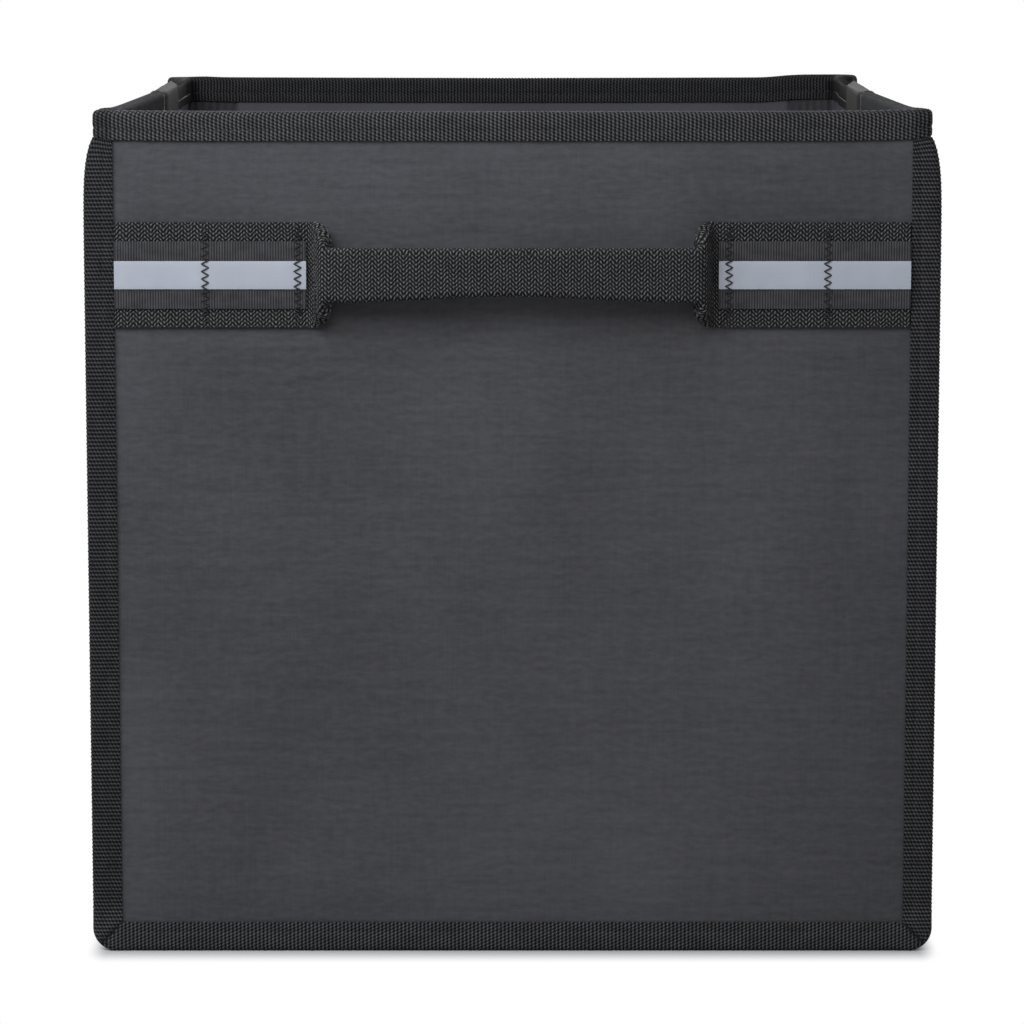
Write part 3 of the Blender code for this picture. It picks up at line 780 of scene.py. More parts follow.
def add_wall_layers(fabric, lining):
    """Outer cover and inner lining of the front and the back wall."""
    radius = SEAM_CORNER_RADIUS - SEAM_FOLD_RADIUS
    levels = [SEAM_FOLD_RADIUS + radius * (1 - math.cos(angle)) for angle in spread(0.0, math.pi / 2, 7)]
    levels += spread(levels[-1], LAYER_TOP, round((LAYER_TOP - levels[-1]) / COVER_STEP) + 1)[1:]
    columns = round(2 * SEAM_HALF / COVER_STEP)
    low = LINING_LOW[2]
    high = LINING_HIGH[2]
    lining_levels = spread(low, high, round((high - low) / LINING_STEP))
    lining_columns = round(2 * LINING_HIGH[0] / LINING_COLUMN) + 1
    for name, seed, placed in (("front", 2.0, np.array), ("back", 21.0, turned)):
        depths = (COVER_FACE, COVER_FACE + COVER_THICKNESS)
        outer, inner = wall_grids(levels, columns, cover_half, depths, seed, panel_lift)
        piece = add_sheet(name + "_panel", placed(outer), placed(inner), fabric, keep=2)
        place_piece(piece, "coated_fabric", name + "_cover")
        flat = (2 * cover_half(BOX_HEIGHT / 2), LAYER_TOP - levels[0])
        depths = (LINING_HIGH[1], LINING_LOW[1])
        outer, inner = wall_grids(
            lining_levels, lining_columns, lambda _z: LINING_HIGH[0], depths, seed, lining_lift)
        piece = add_sheet(name + "_inner_lining", placed(outer), placed(inner), lining)
        place_piece(piece, "lining_fabric", name + "_lining")
        mark_painted_shade(piece, lining_painted_shade)
        flat = (2 * LINING_HIGH[0], high - low)


# Gusset

def side_lift(y, along, seed):
    """How far the gusset's fabric stands out of its plane, with a pressed line at the crease."""
    edge = abs(SIDE_START) - abs(y)
    lift = 0.0004 * (0.45 + drift(y, along, 15.0, 9.0, seed)) * smooth(edge / 0.015)
    lift += 0.00012 * drift(y, along, 60.0, 45.0, seed + 4)
    lift -= PRESSED_LINE * bell(y, PRESSED_WIDTH)
    return max(lift, -INWARD_LIMIT - 0.8 * PRESSED_LINE * bell(y, PRESSED_WIDTH))


def gusset_depths(step):
    """Even depths from the front to the back, with one at the crease."""
    return spread(SIDE_START, -SIDE_START, round(-2 * SIDE_START / step) | 1)


def cover_row(station, along, inset, flange_y):
    """Points of the gusset cover from its front seam allowance to its rear one."""
    def allowance(y):
        tip = flange_point(station, y)
        root = gusset_point(station, inset, inset, WALL_CORNER_RADIUS - inset, y)
        return [tip, between(tip, root, 0.5), root]

    row = allowance(flange_y)
    for y in gusset_depths(GUSSET_STEP):
        on_cloth = station[0] == WALL or abs(y) < abs(SIDE_START)
        out = side_lift(y, along, 31.0) if on_cloth else 0.0
        row.append(gusset_point(station, inset - out, inset - out, WALL_CORNER_RADIUS, y))
    return row + allowance(-flange_y)[::-1]


def lining_row(station, along, inset):
    """Points of the gusset lining from front to back, with a ridge at the crease."""
    row = []
    for y in gusset_depths(LINING_STEP):
        ripple = LINING_RIPPLE * drift(y, along, 50.0, 40.0, 77.0) + LINING_RIDGE * bell(y, 0.002)
        side = LINING_INSET + inset + max(ripple, -0.0001)
        base = BOARD_INSET + inset + max(ripple, 0.0)
        row.append(gusset_point(station, side, base, WALL_CORNER_RADIUS - inset, y))
    return row


def add_gusset(fabric, lining):
    """Side and base fabric in one strip, with its seam allowances, and the lining inside it."""
    stations = list(enumerate(seam_stations(LAYER_TOP, GUSSET_STEP)))
    grids = [
        [cover_row(station, i * GUSSET_STEP, inset, FLANGE_BACK - inset) for i, station in stations]
        for inset in (0.0, COVER_THICKNESS)
    ]
    piece = add_sheet("side_and_base_panel", *grids, fabric, keep=2)
    place_piece(piece, "coated_fabric", "gusset_cover")

    stations = list(enumerate(seam_stations(LAYER_TOP, LINING_STEP)))
    grids = [
        [lining_row(station, i * LINING_STEP, inset) for i, station in stations]
        for inset in (LINING_THICKNESS, 0.0)
    ]
    piece = add_sheet("side_and_base_lining", *grids, lining, keep=4)
    place_piece(piece, "lining_fabric", "gusset_lining")


# Bound seams

stitch_routes = []


def rib_relief(rows, columns, across, groove, bead_share):
    """Height of the woven ribs and their beads, with a groove where the stitches pull the tape in."""
    row = np.arange(rows)[:, None]
    column = np.arange(columns)[None, :]
    crest = (row % 2 == 0)
    bead = ((row // 2 + column) % 2 == 0)
    height = RIB_RELIEF * crest * (1 - bead_share + bead_share * bead)
    pulled = sum(bell(across - place, GROOVE_WIDTH) for place in groove)
    return height - STITCH_GROOVE * pulled[None, :] - RIB_RELIEF / 2


def tape_weave(outer, bead_share):
    """Map, stitch places and relief of a tape whose rows lie half a rib apart."""
    rows, columns = outer.shape[:2]
    along = np.arange(rows) * RIB_PITCH / 2
    across = lengths(outer[rows // 2])
    groove = (STITCH_SETBACK, across[-1] - STITCH_SETBACK)
    return along, across, groove, rib_relief(rows, columns, across, groove, bead_share)


def puff(across, face, height):
    """How far a tape's outer leg swells between its edge and its fold."""
    return height * np.sin(np.pi * np.clip(across / face, 0, 1))[None, :]


def note_routes(outer, inner, across, places):
    """Keep the lines of stitches that run along a tape at some distances across it."""
    for place in places:
        column = int(np.argmin(np.abs(across - place)))
        through = unit(outer[:, column] - inner[:, column])
        stitch_routes.append(outer[:, column] - through * STITCH_GROOVE)


def seam_tape_row(station, radius):
    """Points across the folded tape at one station, from the panel round the seam to the gusset."""
    middle = FRONT + SEAM_FOLD_RADIUS
    rear_side = WALL_HALF + CLEARANCE
    rear_radius = WALL_CORNER_RADIUS + CLEARANCE
    near = outline_point(station, lambda _z: SEAM_HALF - SEAM_TAPE_FACE, SEAM_TAPE_FACE, 0.0)
    rear = outline_point(station, lambda _z: rear_side, FLOOR_LEVEL - CLEARANCE, rear_radius)
    fold = []
    for angle in spread(math.pi / 2, -math.pi / 2, 10):
        x, z = seam_point(station, SEAM_FOLD_RADIUS - radius * math.cos(angle))
        fold.append((x, middle - radius * math.sin(angle), z))
    near = (near[0], middle - radius, near[1])
    rear = (rear[0], middle + radius, rear[1])
    face = [between(near, fold[0], share) for share in spread(0.0, 1.0, SEAM_FACE_COLUMNS + 1)[:-1]]
    return face + fold + [between(fold[-1], rear, share) for share in spread(0.0, 1.0, 11)[1:]]


def corner_rise(x, y):
    """How much higher the rim tape's lower edge lies at the front corners than along the rim."""
    across = smooth((np.abs(x) - (SEAM_HALF - SEAM_TAPE_FACE)) / 0.007)
    return CORNER_RISE * across * bell(y - FRONT, 0.010)


def tuck_under_rim(grid):
    """Draw the top of the seam tape up to the rim tape's raised corner."""
    neck_top = BOX_HEIGHT - RIM_TAPE_FACE
    near_top = smooth((grid[:, :, 2] - neck_top + 0.010) / 0.010)
    raised = grid.copy()
    raised[:, :, 2] += near_top * corner_rise(grid[:, :, 0], grid[:, :, 1])
    return raised


def mitre_map(stations, outer, along, across):
    """Surface map of the seam tape: its ribs run straight up to the mitre of each lower corner."""
    along_map, across_map = np.meshgrid(along, across, indexing="ij")
    half_x = np.abs(outer[:, :, 0])
    height = outer[:, :, 2]
    in_x = half_x - (SEAM_HALF - SEAM_TAPE_FACE)
    in_z = SEAM_TAPE_FACE - height
    on_face = np.arange(len(across)) < SEAM_FACE_COLUMNS
    kinds = [(kind, sign) for kind, sign, _ in stations]
    for sign in (-1, 1):
        rows = [i for i, key in enumerate(kinds) if key == (CORNER, sign)]
        wall, base = (rows[0] - 1, rows[-1] + 1) if sign < 0 else (rows[-1] + 1, rows[0] - 1)
        for row in rows:
            upright_leg = in_x[row] >= in_z[row]
            down = along[wall] - sign * (height[wall] - height[row])
            level = along[base] + sign * (half_x[row] - half_x[base])
            along_map[row] = np.where(upright_leg, down, level)
            inward = np.where(upright_leg, in_x[row], in_z[row])
            across_map[row] = np.where(on_face, inward, across_map[row])
    return along_map, across_map


def add_seam_tapes(tape):
    """Tape round the sides and base of the front wall, and the same round the back wall."""
    top = BOX_HEIGHT - RIM_TAPE_FACE - CLEARANCE
    stations = seam_stations(top, RIB_PITCH / 2)
    outer = np.array([seam_tape_row(station, SEAM_FOLD_RADIUS) for station in stations])
    inner = np.array([seam_tape_row(station, SEAM_FOLD_RADIUS - TAPE_THICKNESS) for station in stations])
    along, across, groove, relief = tape_weave(outer, 0.35)
    straight = np.array([float(station[0] != CORNER) for station in stations])
    relief = relief * straight[:, None] + puff(across, SEAM_TAPE_FACE + 0.001, SEAM_PUFF)
    from_mitre = np.array([station[2] - math.pi / 4 for station in stations])
    mitre = bell(from_mitre, 0.10) * (1 - straight)
    bunch = bell(from_mitre, 0.45) * (1 - straight)
    on_leg = smooth((SEAM_TAPE_FACE - 0.0015 - across) / 0.003)[None, :]
    relief = relief - MITRE_GROOVE * mitre[:, None] * on_leg + CORNER_BUNCH * bunch[:, None]
    surface = mitre_map(stations, outer, along, across)
    outer = tuck_under_rim(outer)
    inner = tuck_under_rim(inner)
    for name, placed in (("front", np.array), ("back", turned)):
        piece = add_sheet(name + "_edge_tape", placed(outer), placed(inner), tape, relief, *surface)
        mark_painted_shade(piece, seam_painted_shade)
        place_piece(piece, "woven_tape", name + "_edge_binding")
        note_routes(placed(outer), placed(inner), across, groove)


# Bound rim

def rim_reach(y):
    """Half width over the rim tape at depth y, wider near the corners where it wraps the seams."""
    wall = WALL_HALF - CREASE_DEPTH * fold_share(y) + RIM_OUTER_OUTSET
    from_seam = abs(FRONT) - SEAM_FOLD_RADIUS * 2 - abs(y)
    return RIM_HALF_WIDTH + (wall - RIM_HALF_WIDTH) * float(smooth(from_seam / RIM_CORNER_RUN))


def rim_inner(y):
    """Half width inside the rim tape at depth y, pinched at the crease where no board stiffens it."""
    pinch = CREASE_PINCH * float(bell(y, 0.006))
    return WALL_HALF - CREASE_DEPTH * fold_share(y) - RIM_INNER_INSET + pinch


def rim_corner_feet():
    """Feet of the tape round the front left corner, from the side wall to the front wall."""
    def arc(x, y, radius, count):
        angles = spread(0.0, math.pi / 2, count)
        turns = [(1 - math.cos(angle), 1 - math.sin(angle)) for angle in angles]
        return [(x + radius * across, y + radius * along) for across, along in turns]

    outer = [(-RIM_HALF_WIDTH, SEAM_BACK)] + arc(-RIM_HALF_WIDTH, FRONT, RIM_CORNER_RADIUS, 9)
    inner = arc(-rim_inner(RIM_BACK), RIM_BACK, RIM_INNER_RADIUS, len(outer))
    return [(*out, *into) for out, into in zip(outer, inner)]


def rim_feet(side_end, inside_end, step):
    """Feet of a tape along the front rim and back to its ends outside and inside both side walls."""
    side_start = RIM_BACK + RIM_INNER_RADIUS + RIM_CORNER_RADIUS
    depths = zip(spread(side_end, side_start, 60), spread(inside_end, side_start, 60))
    left = [(-rim_reach(y), y, -rim_inner(inside), inside) for y, inside in depths] + rim_corner_feet()
    right = [(-ox, oy, -ix, iy) for ox, oy, ix, iy in reversed(left)]
    feet = np.array(left + right)
    run = (lengths(feet[:, :2]) + lengths(feet[:, 2:])) / 2
    count = round(run[-1] / step) + 1
    places = np.linspace(0.0, run[-1], count)
    return np.stack([np.interp(places, run, feet[:, k]) for k in range(4)], axis=1)


def rim_painted_shade(x, y, z):
    """Painted shade on the rim tape: darker at the ends of the front and back walls, along the side walls,
    more towards the back and most in the rear corners.
    """
    corner = CORNER_SHADE * smooth((np.abs(x) - CORNER_SHADE_START) / 0.0012) * (np.abs(y) > 0.12)
    side = SIDE_RIM_SHADE * smooth((y - RIM_BACK) / 0.010)
    back = BACK_RIM_SHADE * smooth((y - 0.02) / 0.02)
    rear_corner = BACK_CORNER_SHADE * smooth((np.abs(x) - REAR_CORNER_SHADE_START) / 0.003) * (y > 0.06)
    # Painted light: the rear corners' painted shade is eased along the rim's top, where the light from
    # above falls.
    rear_corner *= 1 - 0.45 * smooth((z - BOX_HEIGHT + RIM_FOLD_RADIUS) / 0.0012)
    return np.maximum.reduce([corner, side, back, rear_corner])


def seam_painted_shade(x, _y, z):
    """Painted shade on the seam tape: dark along the mitre of its lower corners, and up its sides, darker
    on the left side than on the right.
    """
    in_x = np.abs(x) - (SEAM_HALF - SEAM_TAPE_FACE)
    in_z = SEAM_TAPE_FACE - z
    inside = smooth(in_x / 0.002) * smooth(in_z / 0.002)
    sides = (SIDE_SEAM_SHADE - SIDE_SEAM_SHADE_SLOPE * x) * smooth(-in_z / 0.010)
    return sides + MITRE_SHADE * inside * bell(in_x - in_z, 0.0014)


def lining_painted_shade(x, _y, z):
    """Painted shade on the wall linings: darker past the first crease towards the corners, in wavy pucker
    bands and a little less past the second, with a dark line along each crease.
    """
    out = np.abs(x) + 0.0007 * np.sin(z * 61.0) + 0.0005 * np.sin(z * 143.0 + 1.0)
    pucker_shade = 0.16 * np.sin(out * 1800.0 + 2.0 * np.sin(z * 90.0))
    outside = smooth((out - LINING_CREASES[0]) / 0.0010)
    corner = smooth((out - LINING_CREASES[1]) / 0.0015)
    outer_shade = outside * (LINING_CORNER_SHADE - 0.24 * corner + pucker_shade)
    creases = [LINING_CREASE_SHADE * bell(out - place, 0.0011) for place in LINING_CREASES]
    return np.maximum.reduce([outer_shade, *creases])


def mark_painted_shade(piece, amount_at):
    """Keep on the piece, as its fold attribute, the painted shade that its finish darkens it by."""
    count = len(piece.data.vertices)
    points = np.empty(count * 3, dtype=np.float32)
    piece.data.vertices.foreach_get("co", points)
    points = points.reshape(-1, 3)
    layer = piece.data.attributes.new("fold", "FLOAT", "POINT")
    layer.data.foreach_set("value", amount_at(*points.T).astype(np.float32))


def rim_row(foot, inset):
    """Points of the tape over the rim at one pair of feet."""
    outer_x, outer_y, inner_x, inner_y = foot
    width = math.hypot(inner_x - outer_x, inner_y - outer_y)
    radius = RIM_FOLD_RADIUS - inset
    top = BOX_HEIGHT - inset
    bottom = BOX_HEIGHT - RIM_TAPE_FACE
    profile = [(inset, z) for z in spread(bottom, top - radius, 16)[:-1]]
    for angle in spread(0.0, math.pi / 2, 5):
        profile.append((inset + radius * (1 - math.cos(angle)), top - radius * (1 - math.sin(angle))))
    profile += [(width / 2, top)] + [(width - across, z) for across, z in reversed(profile)]
    run_x = (inner_x - outer_x) / width
    run_y = (inner_y - outer_y) / width
    return [(outer_x + run_x * across, outer_y + run_y * across, z) for across, z in profile]


def settle_rim(grid, is_outer, height_at):
    """Let the rim sag between its corners; the inner face moves less towards its top."""
    low = BOX_HEIGHT - RIM_TAPE_FACE
    below_top = np.clip((BOX_HEIGHT - TAPE_THICKNESS - grid[:, :, 2]) / (BOX_HEIGHT - low), 0.0, 1.0)
    shift = height_at(grid[:, :, 0], grid[:, :, 1])
    if not is_outer:
        shift = shift * below_top
    outside = grid[:, :, 1] < RIM_BACK - 0.002
    shift = shift + corner_rise(grid[:, :, 0], grid[:, :, 1]) * below_top * outside
    settled = grid.copy()
    settled[:, :, 2] += shift
    return settled


def front_rim_height(x, y):
    """How far the front tape stands above its plane: it sags and ends in a small bump on one side."""
    share = np.abs(x) / RIM_HALF_WIDTH
    front = RIM_CORNER_RISE * share ** 8 * (x > 0) - RIM_SAG * (1 - share ** 10)
    side = RIM_CORNER_RISE * bell((y - FRONT), 0.03)
    on_front = smooth((RIM_BACK + 0.002 - y) / 0.004)
    return front * on_front + side * (1 - on_front) + 0.0005 * bell(y, 0.0035)


def back_rim_height(x, y):
    """How far the back tape stands above its plane: one corner is gathered higher."""
    corner = BACK_CORNER_BUMP * np.exp(-((x - BACK_CORNER_X) / 0.020) ** 4) * smooth((y - 0.120) / 0.020)
    share = np.abs(x) / RIM_HALF_WIDTH
    return corner - 0.0003 * (1 - share ** 2) + 0.0003 * bell(x + BACK_CORNER_X, 0.006)


def add_rim(tape, facing):
    """Woven tape on the front and the back rim, with smooth facings between them."""
    crease_end = -CLEARANCE / 2
    for name, node, ends, placed, height_at, bead_share in (
        ("front_rim_tape", "rim_binding_front", (crease_end, crease_end), np.array, front_rim_height, 0.25),
        ("back_rim_tape", "rim_binding_back", (FRONT + REAR_TAPE_WRAP, FRONT + REAR_TAPE_INSIDE), turned,
         back_rim_height, 0.05),
    ):
        feet = rim_feet(*ends, RIB_PITCH / 2)
        outer = settle_rim(placed([rim_row(foot, 0.0) for foot in feet]), True, height_at)
        inner = settle_rim(placed([rim_row(foot, TAPE_THICKNESS) for foot in feet]), False, height_at)
        along, across, groove, relief = tape_weave(outer, bead_share)
        relief = relief + puff(across, RIM_TAPE_FACE, RIM_PUFF)
        piece = add_sheet(name, outer, inner, tape, relief, along, across)
        mark_painted_shade(piece, rim_painted_shade)
        place_piece(piece, "woven_tape", node)
        note_routes(outer, inner, across, groove)
    outside = spread(CLEARANCE / 2, -FRONT - REAR_TAPE_WRAP - CLEARANCE, 73)
    inside = spread(CLEARANCE / 2, -FRONT - REAR_TAPE_INSIDE - CLEARANCE, 73)
    feet = [(-rim_reach(y), y, -rim_inner(within), within) for y, within in zip(outside, inside)]
    for name, node, sign in (
        ("left_smooth_facing", "left_rim_facing", 1.0),
        ("right_smooth_facing", "right_rim_facing", -1.0),
    ):
        mirror = np.array([sign, 1.0, 1.0])
        outer, inner = [
            np.array([rim_row(foot, inset) for foot in feet]) * mirror for inset in (0.0, TAPE_THICKNESS)]
        ripple = [
            [FACING_RIPPLE * drift(y, column, 45.0, 0.22, 5.0 + sign) for column in range(outer.shape[1])]
            for y in outside
        ]
        swell = 0.0004 * bell(np.array(outside) - 0.002, PRESSED_WIDTH)
        piece = add_sheet(name, outer, inner, facing, np.array(ripple) + swell[:, None], keep=4)
        place_piece(piece, "smooth_facing", node)


# Straps and handles

def handle_arcs():
    """Arcs of half the handle from its foot to the grip's middle, as (length, curvature)."""
    lift = HANDLE_LIFT_ANGLE
    foot = HANDLE_FOOT_RADIUS
    shoulder = HANDLE_SHOULDER_RADIUS
    shoulder_x = HANDLE_REACH
    for _ in range(SOLVE_STEPS):
        bow_angle = 2 * math.atan(HANDLE_BOW / shoulder_x)
        turned_height = foot * (1 - math.cos(lift)) + shoulder * (math.cos(bow_angle) - math.cos(lift))
        straight = (HANDLE_STAND_OFF - turned_height) / math.sin(lift)
        run = foot * math.sin(lift) + straight * math.cos(lift)
        run += shoulder * (math.sin(lift) - math.sin(bow_angle))
        shoulder_x = HANDLE_REACH - run
    grip = shoulder_x / math.sin(bow_angle)
    shoulder_arc = (shoulder * (lift - bow_angle), -1 / shoulder)
    return (foot * lift, 1 / foot), (straight, 0.0), shoulder_arc, (grip * bow_angle, -1 / grip)


def handle_point(arcs, run):
    """Distance in from the foot, stand-off and lift angle at a run along half the handle."""
    inward = 0.0
    out = 0.0
    angle = 0.0
    for length, curvature in arcs:
        step = bounded(run, 0.0, length)
        turned_angle = angle + step * curvature
        if curvature:
            inward += (math.sin(turned_angle) - math.sin(angle)) / curvature
            out += (math.cos(angle) - math.cos(turned_angle)) / curvature
        else:
            inward += step * math.cos(angle)
            out += step * math.sin(angle)
        angle = turned_angle
        run -= length
    return inward, out, angle


def strap_profile(width, folded, waist):
    """Up, back and turn of a point at a width from the strap's middle.

    The fold's crease runs in from the strap's edge, where folded is 0, to the grip's edge, where it is 1.
    """
    side = 1 if width >= 0 else -1
    reach = abs(width)
    closed_arc = math.pi * GRIP_FOLD_RADIUS
    closed_flat = (STRAP_WIDTH / 2 - closed_arc + GRIP_FLAP_GAP / 2) / 2
    if side < 0:
        closed_flat -= waist
    flat = STRAP_WIDTH / 2 + (closed_flat - STRAP_WIDTH / 2) * folded
    if reach <= flat:
        return width, 0.0, 0.0
    radius = OPEN_FOLD_RADIUS + (GRIP_FOLD_RADIUS - OPEN_FOLD_RADIUS) * folded
    angle = math.pi * GRIP_CLOSING
    turn = min((reach - flat) / radius, angle)
    up = flat + radius * math.sin(turn)
    back = radius * (1 - math.cos(turn))
    flap = max(reach - flat - radius * angle, 0.0)
    return side * (up + flap * math.cos(angle)), back + flap * math.sin(angle), side * turn


def strap_row(x, out, rise, lean, folded, waist, side, widths):
    """Points of one face of the strap at x; side is 1 for the outer face and -1 for the inner one."""
    middle = STRAP_FACE + WEBBING_THICKNESS / 2
    row = []
    for width in widths:
        up, back, turn = strap_profile(width, folded, waist)
        lift = side * WEBBING_THICKNESS / 2
        outward = lift * math.cos(turn) - back
        row.append((
            x - math.sin(lean) * outward,
            middle - out - math.cos(lean) * outward,
            STRAP_HEIGHT + rise + up + lift * math.sin(turn),
        ))
    return row


def folded_share(inward):
    """How far the crease has run in at a distance in from the foot: slow, then steep, then slow."""
    start, end = GRIP_FOLD_INWARD
    share = bounded((inward - start) / (end - start), 0.0, 1.0)
    return float(smooth(share ** 1.1))


def chevron_relief(along, across):
    """Height of the woven chevrons over a grid of lengths and widths."""
    lean = 1 - np.abs(2 * np.mod(along / CHEVRON_WIDTH, 1.0) - 1)
    phase = across[None, :] / CHEVRON_PITCH - CHEVRON_RISE * lean[:, None]
    return CHEVRON_RELIEF * (0.5 * np.cos(2 * np.pi * phase))


def add_straps(webbing):
    """Webbing across the front with its folded grip, and the same across the back."""
    arcs = handle_arcs()
    shoulder_end = arcs[0][0] + arcs[1][0] + arcs[2][0]
    total = sum(length for length, _ in arcs)
    flat_run = STRAP_END - HANDLE_REACH
    half_run = flat_run + total
    steps = round(2 * half_run / WEBBING_ROW)
    columns = round(STRAP_WIDTH / WEBBING_COLUMN)
    widths = spread(-STRAP_WIDTH / 2, STRAP_WIDTH / 2, columns + 1)
    places = []
    for run in spread(-half_run, half_run, steps + 1):
        side = 1 if run >= 0 else -1
        from_foot = half_run - abs(run) - flat_run
        if from_foot <= 0:
            places.append((side * (HANDLE_REACH - from_foot), 0.0, 0.0, 0.0, 0.0, 0.0))
            continue
        inward, out, lean = handle_point(arcs, from_foot)
        rise = GRIP_RISE * float(smooth(from_foot / shoulder_end))
        to_middle = float(smooth((from_foot - shoulder_end) / (total - shoulder_end)))
        waist = GRIP_WAIST[0] + (GRIP_WAIST[1] - GRIP_WAIST[0]) * to_middle
        waist *= float(smooth(from_foot / shoulder_end))
        folded = folded_share(inward)
        places.append((side * (HANDLE_REACH - inward), out, rise, -side * lean, folded, waist))
    outer = np.array([strap_row(*place, 1, widths) for place in places])
    inner = np.array([strap_row(*place, -1, widths) for place in places])
    along = np.arange(len(places)) * WEBBING_ROW
    across = np.array(widths) + STRAP_WIDTH / 2
    relief = chevron_relief(along, across)
    for name, placed in (("front", np.array), ("back", turned)):
        piece = add_sheet(name + "_strap", placed(outer), placed(inner), webbing, relief, along, across)
        place_piece(piece, "webbing", name + "_webbing")


def add_strip(place, side, kind, material, thickness, dips):
    """One strip on the strap: its edges are rounded and the tacks pull it in."""
    node = f"{place}_{side}_{kind}"
    low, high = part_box(node)
    face, outer_y = (-1.0, low[1]) if place == "front" else (1.0, high[1])
    outer = []
    inner = []
    for x in spread(low[0], high[0], round((high[0] - low[0]) / STRIP_STEP) + 1):
        dip = TACK_DIP * sum(bell(x - dip_x, TACK_DIP_WIDTH) for dip_x in dips)
        across = list(zip(spread(-1.0, 1.0, 13), spread(low[2], high[2], 13)))
        edges = [dip + STRIP_EDGE * abs(share) ** 8 for share, _ in across]
        outer.append([(x, outer_y - face * edge, z) for edge, (_, z) in zip(edges, across)])
        inner.append([(x, outer_y - face * thickness, z) for _, z in across])
    piece = add_sheet(node + "_cloth", outer, inner, material, keep=3)
    place_piece(piece, kind, node)


def tack_face(drop):
    """Outer face of the strap's layers at a height from its middle, clear of the strips' edges."""
    if abs(drop) <= (REFLECTOR_HIGH[2] - REFLECTOR_LOW[2] + TACK_PITCH) / 2:
        return REFLECTOR_LOW[1]
    if abs(drop) <= (RIBBON_HIGH[2] - RIBBON_LOW[2] + TACK_PITCH) / 2:
        return RIBBON_LOW[1]
    return STRAP_FACE


def add_tack(node, facing, thread):
    """Zigzag of round thread across the strap."""
    low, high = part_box(node)
    centre = facing * (low[0] + high[0]) / 2
    half = STRAP_WIDTH / 2 - TACK_INSET
    corners = round(4 * half / TACK_PITCH)
    steps = corners * 4
    route = []
    for i in range(steps + 1):
        phase = i / 4
        swing = 1 - 2 * abs((phase % 2) - 1)
        drop = -half + 2 * half * i / steps
        dip = THREAD_DIP if abs(phase - round(phase)) < 0.1 else 0.0
        y = tack_face(drop) - THREAD_RADIUS * 0.7 + dip
        route.append((facing * (centre + TACK_SWING * swing), facing * y, STRAP_HEIGHT + drop))
    route = np.array(route)
    tangent = unit(np.gradient(route, axis=0))
    side = unit(np.cross(tangent, np.array([0.0, -facing, 0.0])))
    rise = np.cross(side, tangent)
    angles = (np.arange(THREAD_SIDES) * 2 * np.pi / THREAD_SIDES)[None, :, None]
    circle = np.cos(angles) * side[:, None] + np.sin(angles) * rise[:, None]
    points = route[:, None] + THREAD_RADIUS * circle
    index = np.arange(len(route) * THREAD_SIDES).reshape(-1, THREAD_SIDES)
    quads = grid_quads(np.concatenate([index, index[:, :1]], axis=1).T)
    rings = [index[0][::-1], index[-1]]
    flat = points.reshape(-1, 3)
    piece = add_object(node + "_thread", flat, quads, rings, np.zeros((len(flat), 2)), thread)
    place_piece(piece, "thread", node)


def add_strap_trim(ribbon, reflector, thread):
    """Ribbons, reflective strips and tacks on both straps."""
    strips = (("ribbon", ribbon, RIBBON_THICKNESS), ("reflector", reflector, REFLECTOR_THICKNESS))
    for place, facing in (("front", 1), ("back", -1)):
        tacks = [f"{place}_tack_{number}" for number in range(1, 5)]
        dips = [(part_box(node)[0][0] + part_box(node)[1][0]) / 2 for node in tacks]
        for side in ("left", "right"):
            for kind, material, thickness in strips:
                add_strip(place, side, kind, material, thickness, dips)
        for node in tacks:
            add_tack(node, facing, thread)


# Base insert

def add_base_sleeve(lining):
    """Fabric sleeve round the base board, with softly rounded long edges."""
    low = SLEEVE_LOW[2]
    high = SLEEVE_HIGH[2]
    step = SLEEVE_STEP

    def ring(inset):
        x = SLEEVE_HIGH[0] - inset
        bend = SLEEVE_BEND - inset
        points = [(px, low + inset) for px in spread(0.0, x - bend, round(x / step))]
        lower = [(angle, low + inset + bend) for angle in spread(-math.pi / 2, 0.0, 4)[1:]]
        upper = [(angle, high - inset - bend) for angle in spread(0.0, math.pi / 2, 4)]
        for angle, centre in lower + upper:
            points.append((x - bend + bend * math.cos(angle), centre + bend * math.sin(angle)))
        points += [(px, high - inset) for px in spread(x - bend, -x + bend, round(2 * x / step))[1:-1]]
        left = [(-px, z) for px, z in reversed(points[: round(x / step) + 7])]
        return points + left[:-1]

    def ripple(x, y, z):
        top = float(smooth((z - (low + high) / 2) / 0.001))
        return max(0.00018 * drift(x, y, 40.0, 40.0, 12.0) * top, -0.0001)

    depths = spread(SLEEVE_LOW[1], SLEEVE_HIGH[1], round((SLEEVE_HIGH[1] - SLEEVE_LOW[1]) / step))
    grids = [
        [[(x, y, z + ripple(x, y, z)) for y in depths] for x, z in ring(inset)]
        for inset in (0.0, SLEEVE_THICKNESS)
    ]
    piece = add_sheet("base_insert_sleeve", *grids, lining, keep=2, closed=True)
    place_piece(piece, "lining_fabric", "base_sleeve")


# Stitches

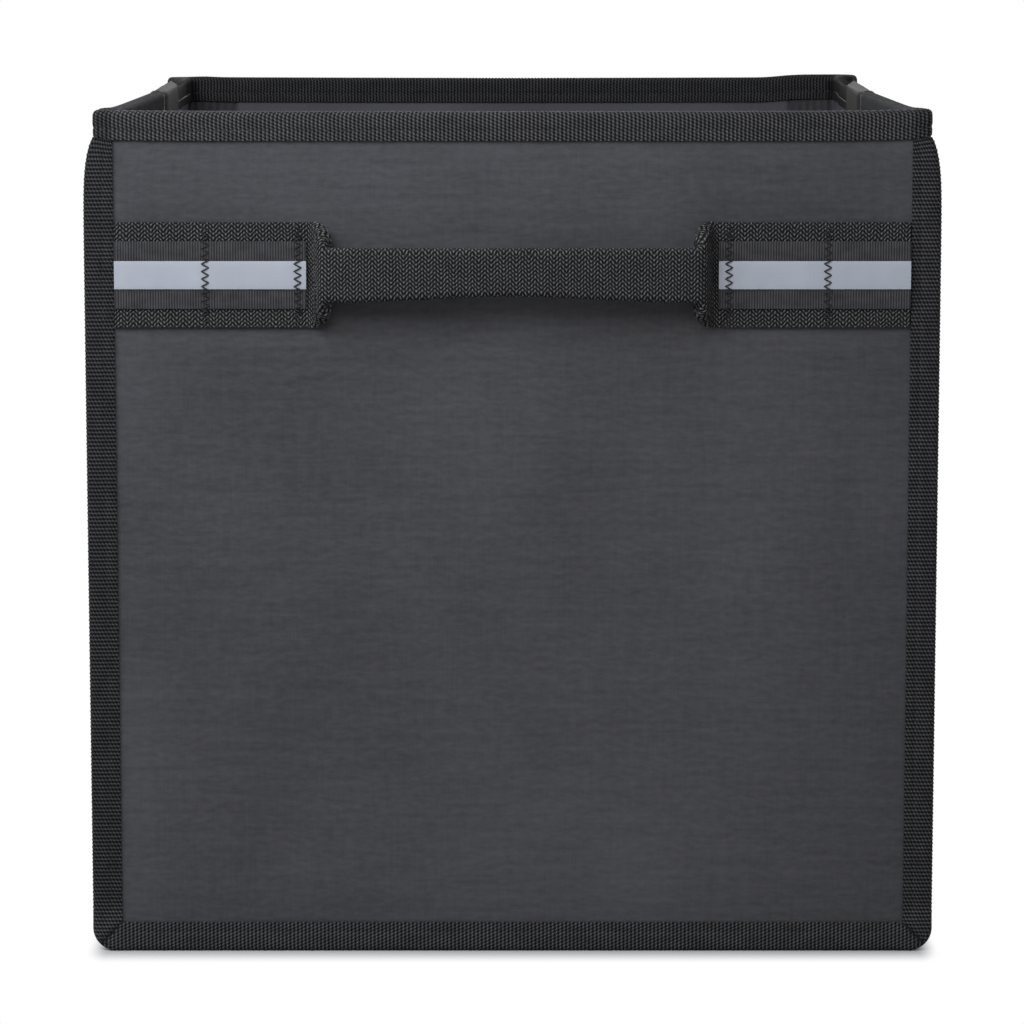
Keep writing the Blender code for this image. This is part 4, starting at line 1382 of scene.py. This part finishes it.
def stitch_tree(thread):
    """Node tree that lays short threads along a line: pitch, length and width are its inputs."""
    tree = bpy.data.node_groups.new("row_of_stitches", "GeometryNodeTree")
    tree.interface.new_socket("Geometry", in_out="INPUT", socket_type="NodeSocketGeometry")
    for name in ("Pitch", "Length", "Width"):
        tree.interface.new_socket(name, in_out="INPUT", socket_type="NodeSocketFloat")
    tree.interface.new_socket("Geometry", in_out="OUTPUT", socket_type="NodeSocketGeometry")

    def step(kind, inputs=None, **settings):
        return add_node(tree, kind, inputs, **settings).outputs

    given = step("NodeGroupInput")
    curve = step("GeometryNodeMeshToCurve", {"Mesh": given["Geometry"]})
    even = step("GeometryNodeResampleCurve", {"Curve": curve[0], "Length": given["Pitch"]}, mode="LENGTH")
    bead = step("GeometryNodeMeshUVSphere", {"Segments": 6, "Rings": 4, "Radius": 0.5})
    size = step("ShaderNodeCombineXYZ", {"X": given["Length"], "Y": given["Width"], "Z": given["Width"]})
    shaped = step("GeometryNodeTransform", {"Geometry": bead["Mesh"], "Scale": size[0]})
    tangent = step("GeometryNodeInputTangent")
    turn = step("FunctionNodeAlignRotationToVector", {"Vector": tangent[0]}, axis="X")
    threads = {"Points": even[0], "Instance": shaped[0], "Rotation": turn[0]}
    laid = step("GeometryNodeInstanceOnPoints", threads)
    real = step("GeometryNodeRealizeInstances", {"Geometry": laid[0]})
    finish = step("GeometryNodeSetMaterial", {"Geometry": real[0], "Material": thread})
    step("NodeGroupOutput", {"Geometry": finish[0]})
    return tree


def add_stitches(thread):
    """All the lines of stitches that hold the tapes, as one piece."""
    points = []
    edges = []
    for route in stitch_routes:
        start = len(points)
        points += [tuple(point) for point in route]
        edges += [(start + i, start + i + 1) for i in range(len(route) - 1)]
    mesh = bpy.data.meshes.new("stitch_lines")
    mesh.from_pydata(points, edges, [])
    lines = add_item("stitch_lines", mesh)
    tree = stitch_tree(thread)
    modifier = lines.modifiers.new("stitches", "NODES")
    modifier.node_group = tree
    sizes = {"Pitch": STITCH_PITCH, "Length": STITCH_LENGTH, "Width": STITCH_WIDTH}
    for item in tree.interface.items_tree:
        if item.in_out == "INPUT" and item.name in sizes:
            modifier[item.identifier] = sizes[item.name]
    graph = bpy.context.evaluated_depsgraph_get()
    real = bpy.data.meshes.new_from_object(lines.evaluated_get(graph), depsgraph=graph)
    bpy.data.objects.remove(lines, do_unlink=True)
    real.name = "seam_stitches"
    real.shade_smooth()
    place_piece(add_item("seam_stitches", real), "thread")


def dress_boards(board):
    """Pressed board finish on the stiffeners, whose solids stay."""
    names = ["front_board", "back_board", "base_board"]
    names += [f"{side}_{place}_board" for side in ("left", "right") for place in ("front", "rear")]
    for name in names:
        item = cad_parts[name]
        for slot in item.material_slots:
            slot.material = board
        if not item.material_slots:
            item.data.materials.append(board)


def main():
    """Build the light, the finishes and every piece of the box."""
    add_world()
    add_floor()
    add_light()
    tape = woven_tape()
    fabric = coated_fabric()
    lining = lining_fabric()
    thread = sewing_thread()
    add_wall_layers(fabric, lining)
    add_gusset(fabric, lining)
    add_seam_tapes(tape)
    add_rim(tape, smooth_facing())
    add_straps(herringbone_webbing())
    add_strap_trim(ribbed_ribbon(), reflective_strip(), thread)
    add_base_sleeve(lining)
    add_stitches(thread)
    dress_boards(stiff_board())


main()
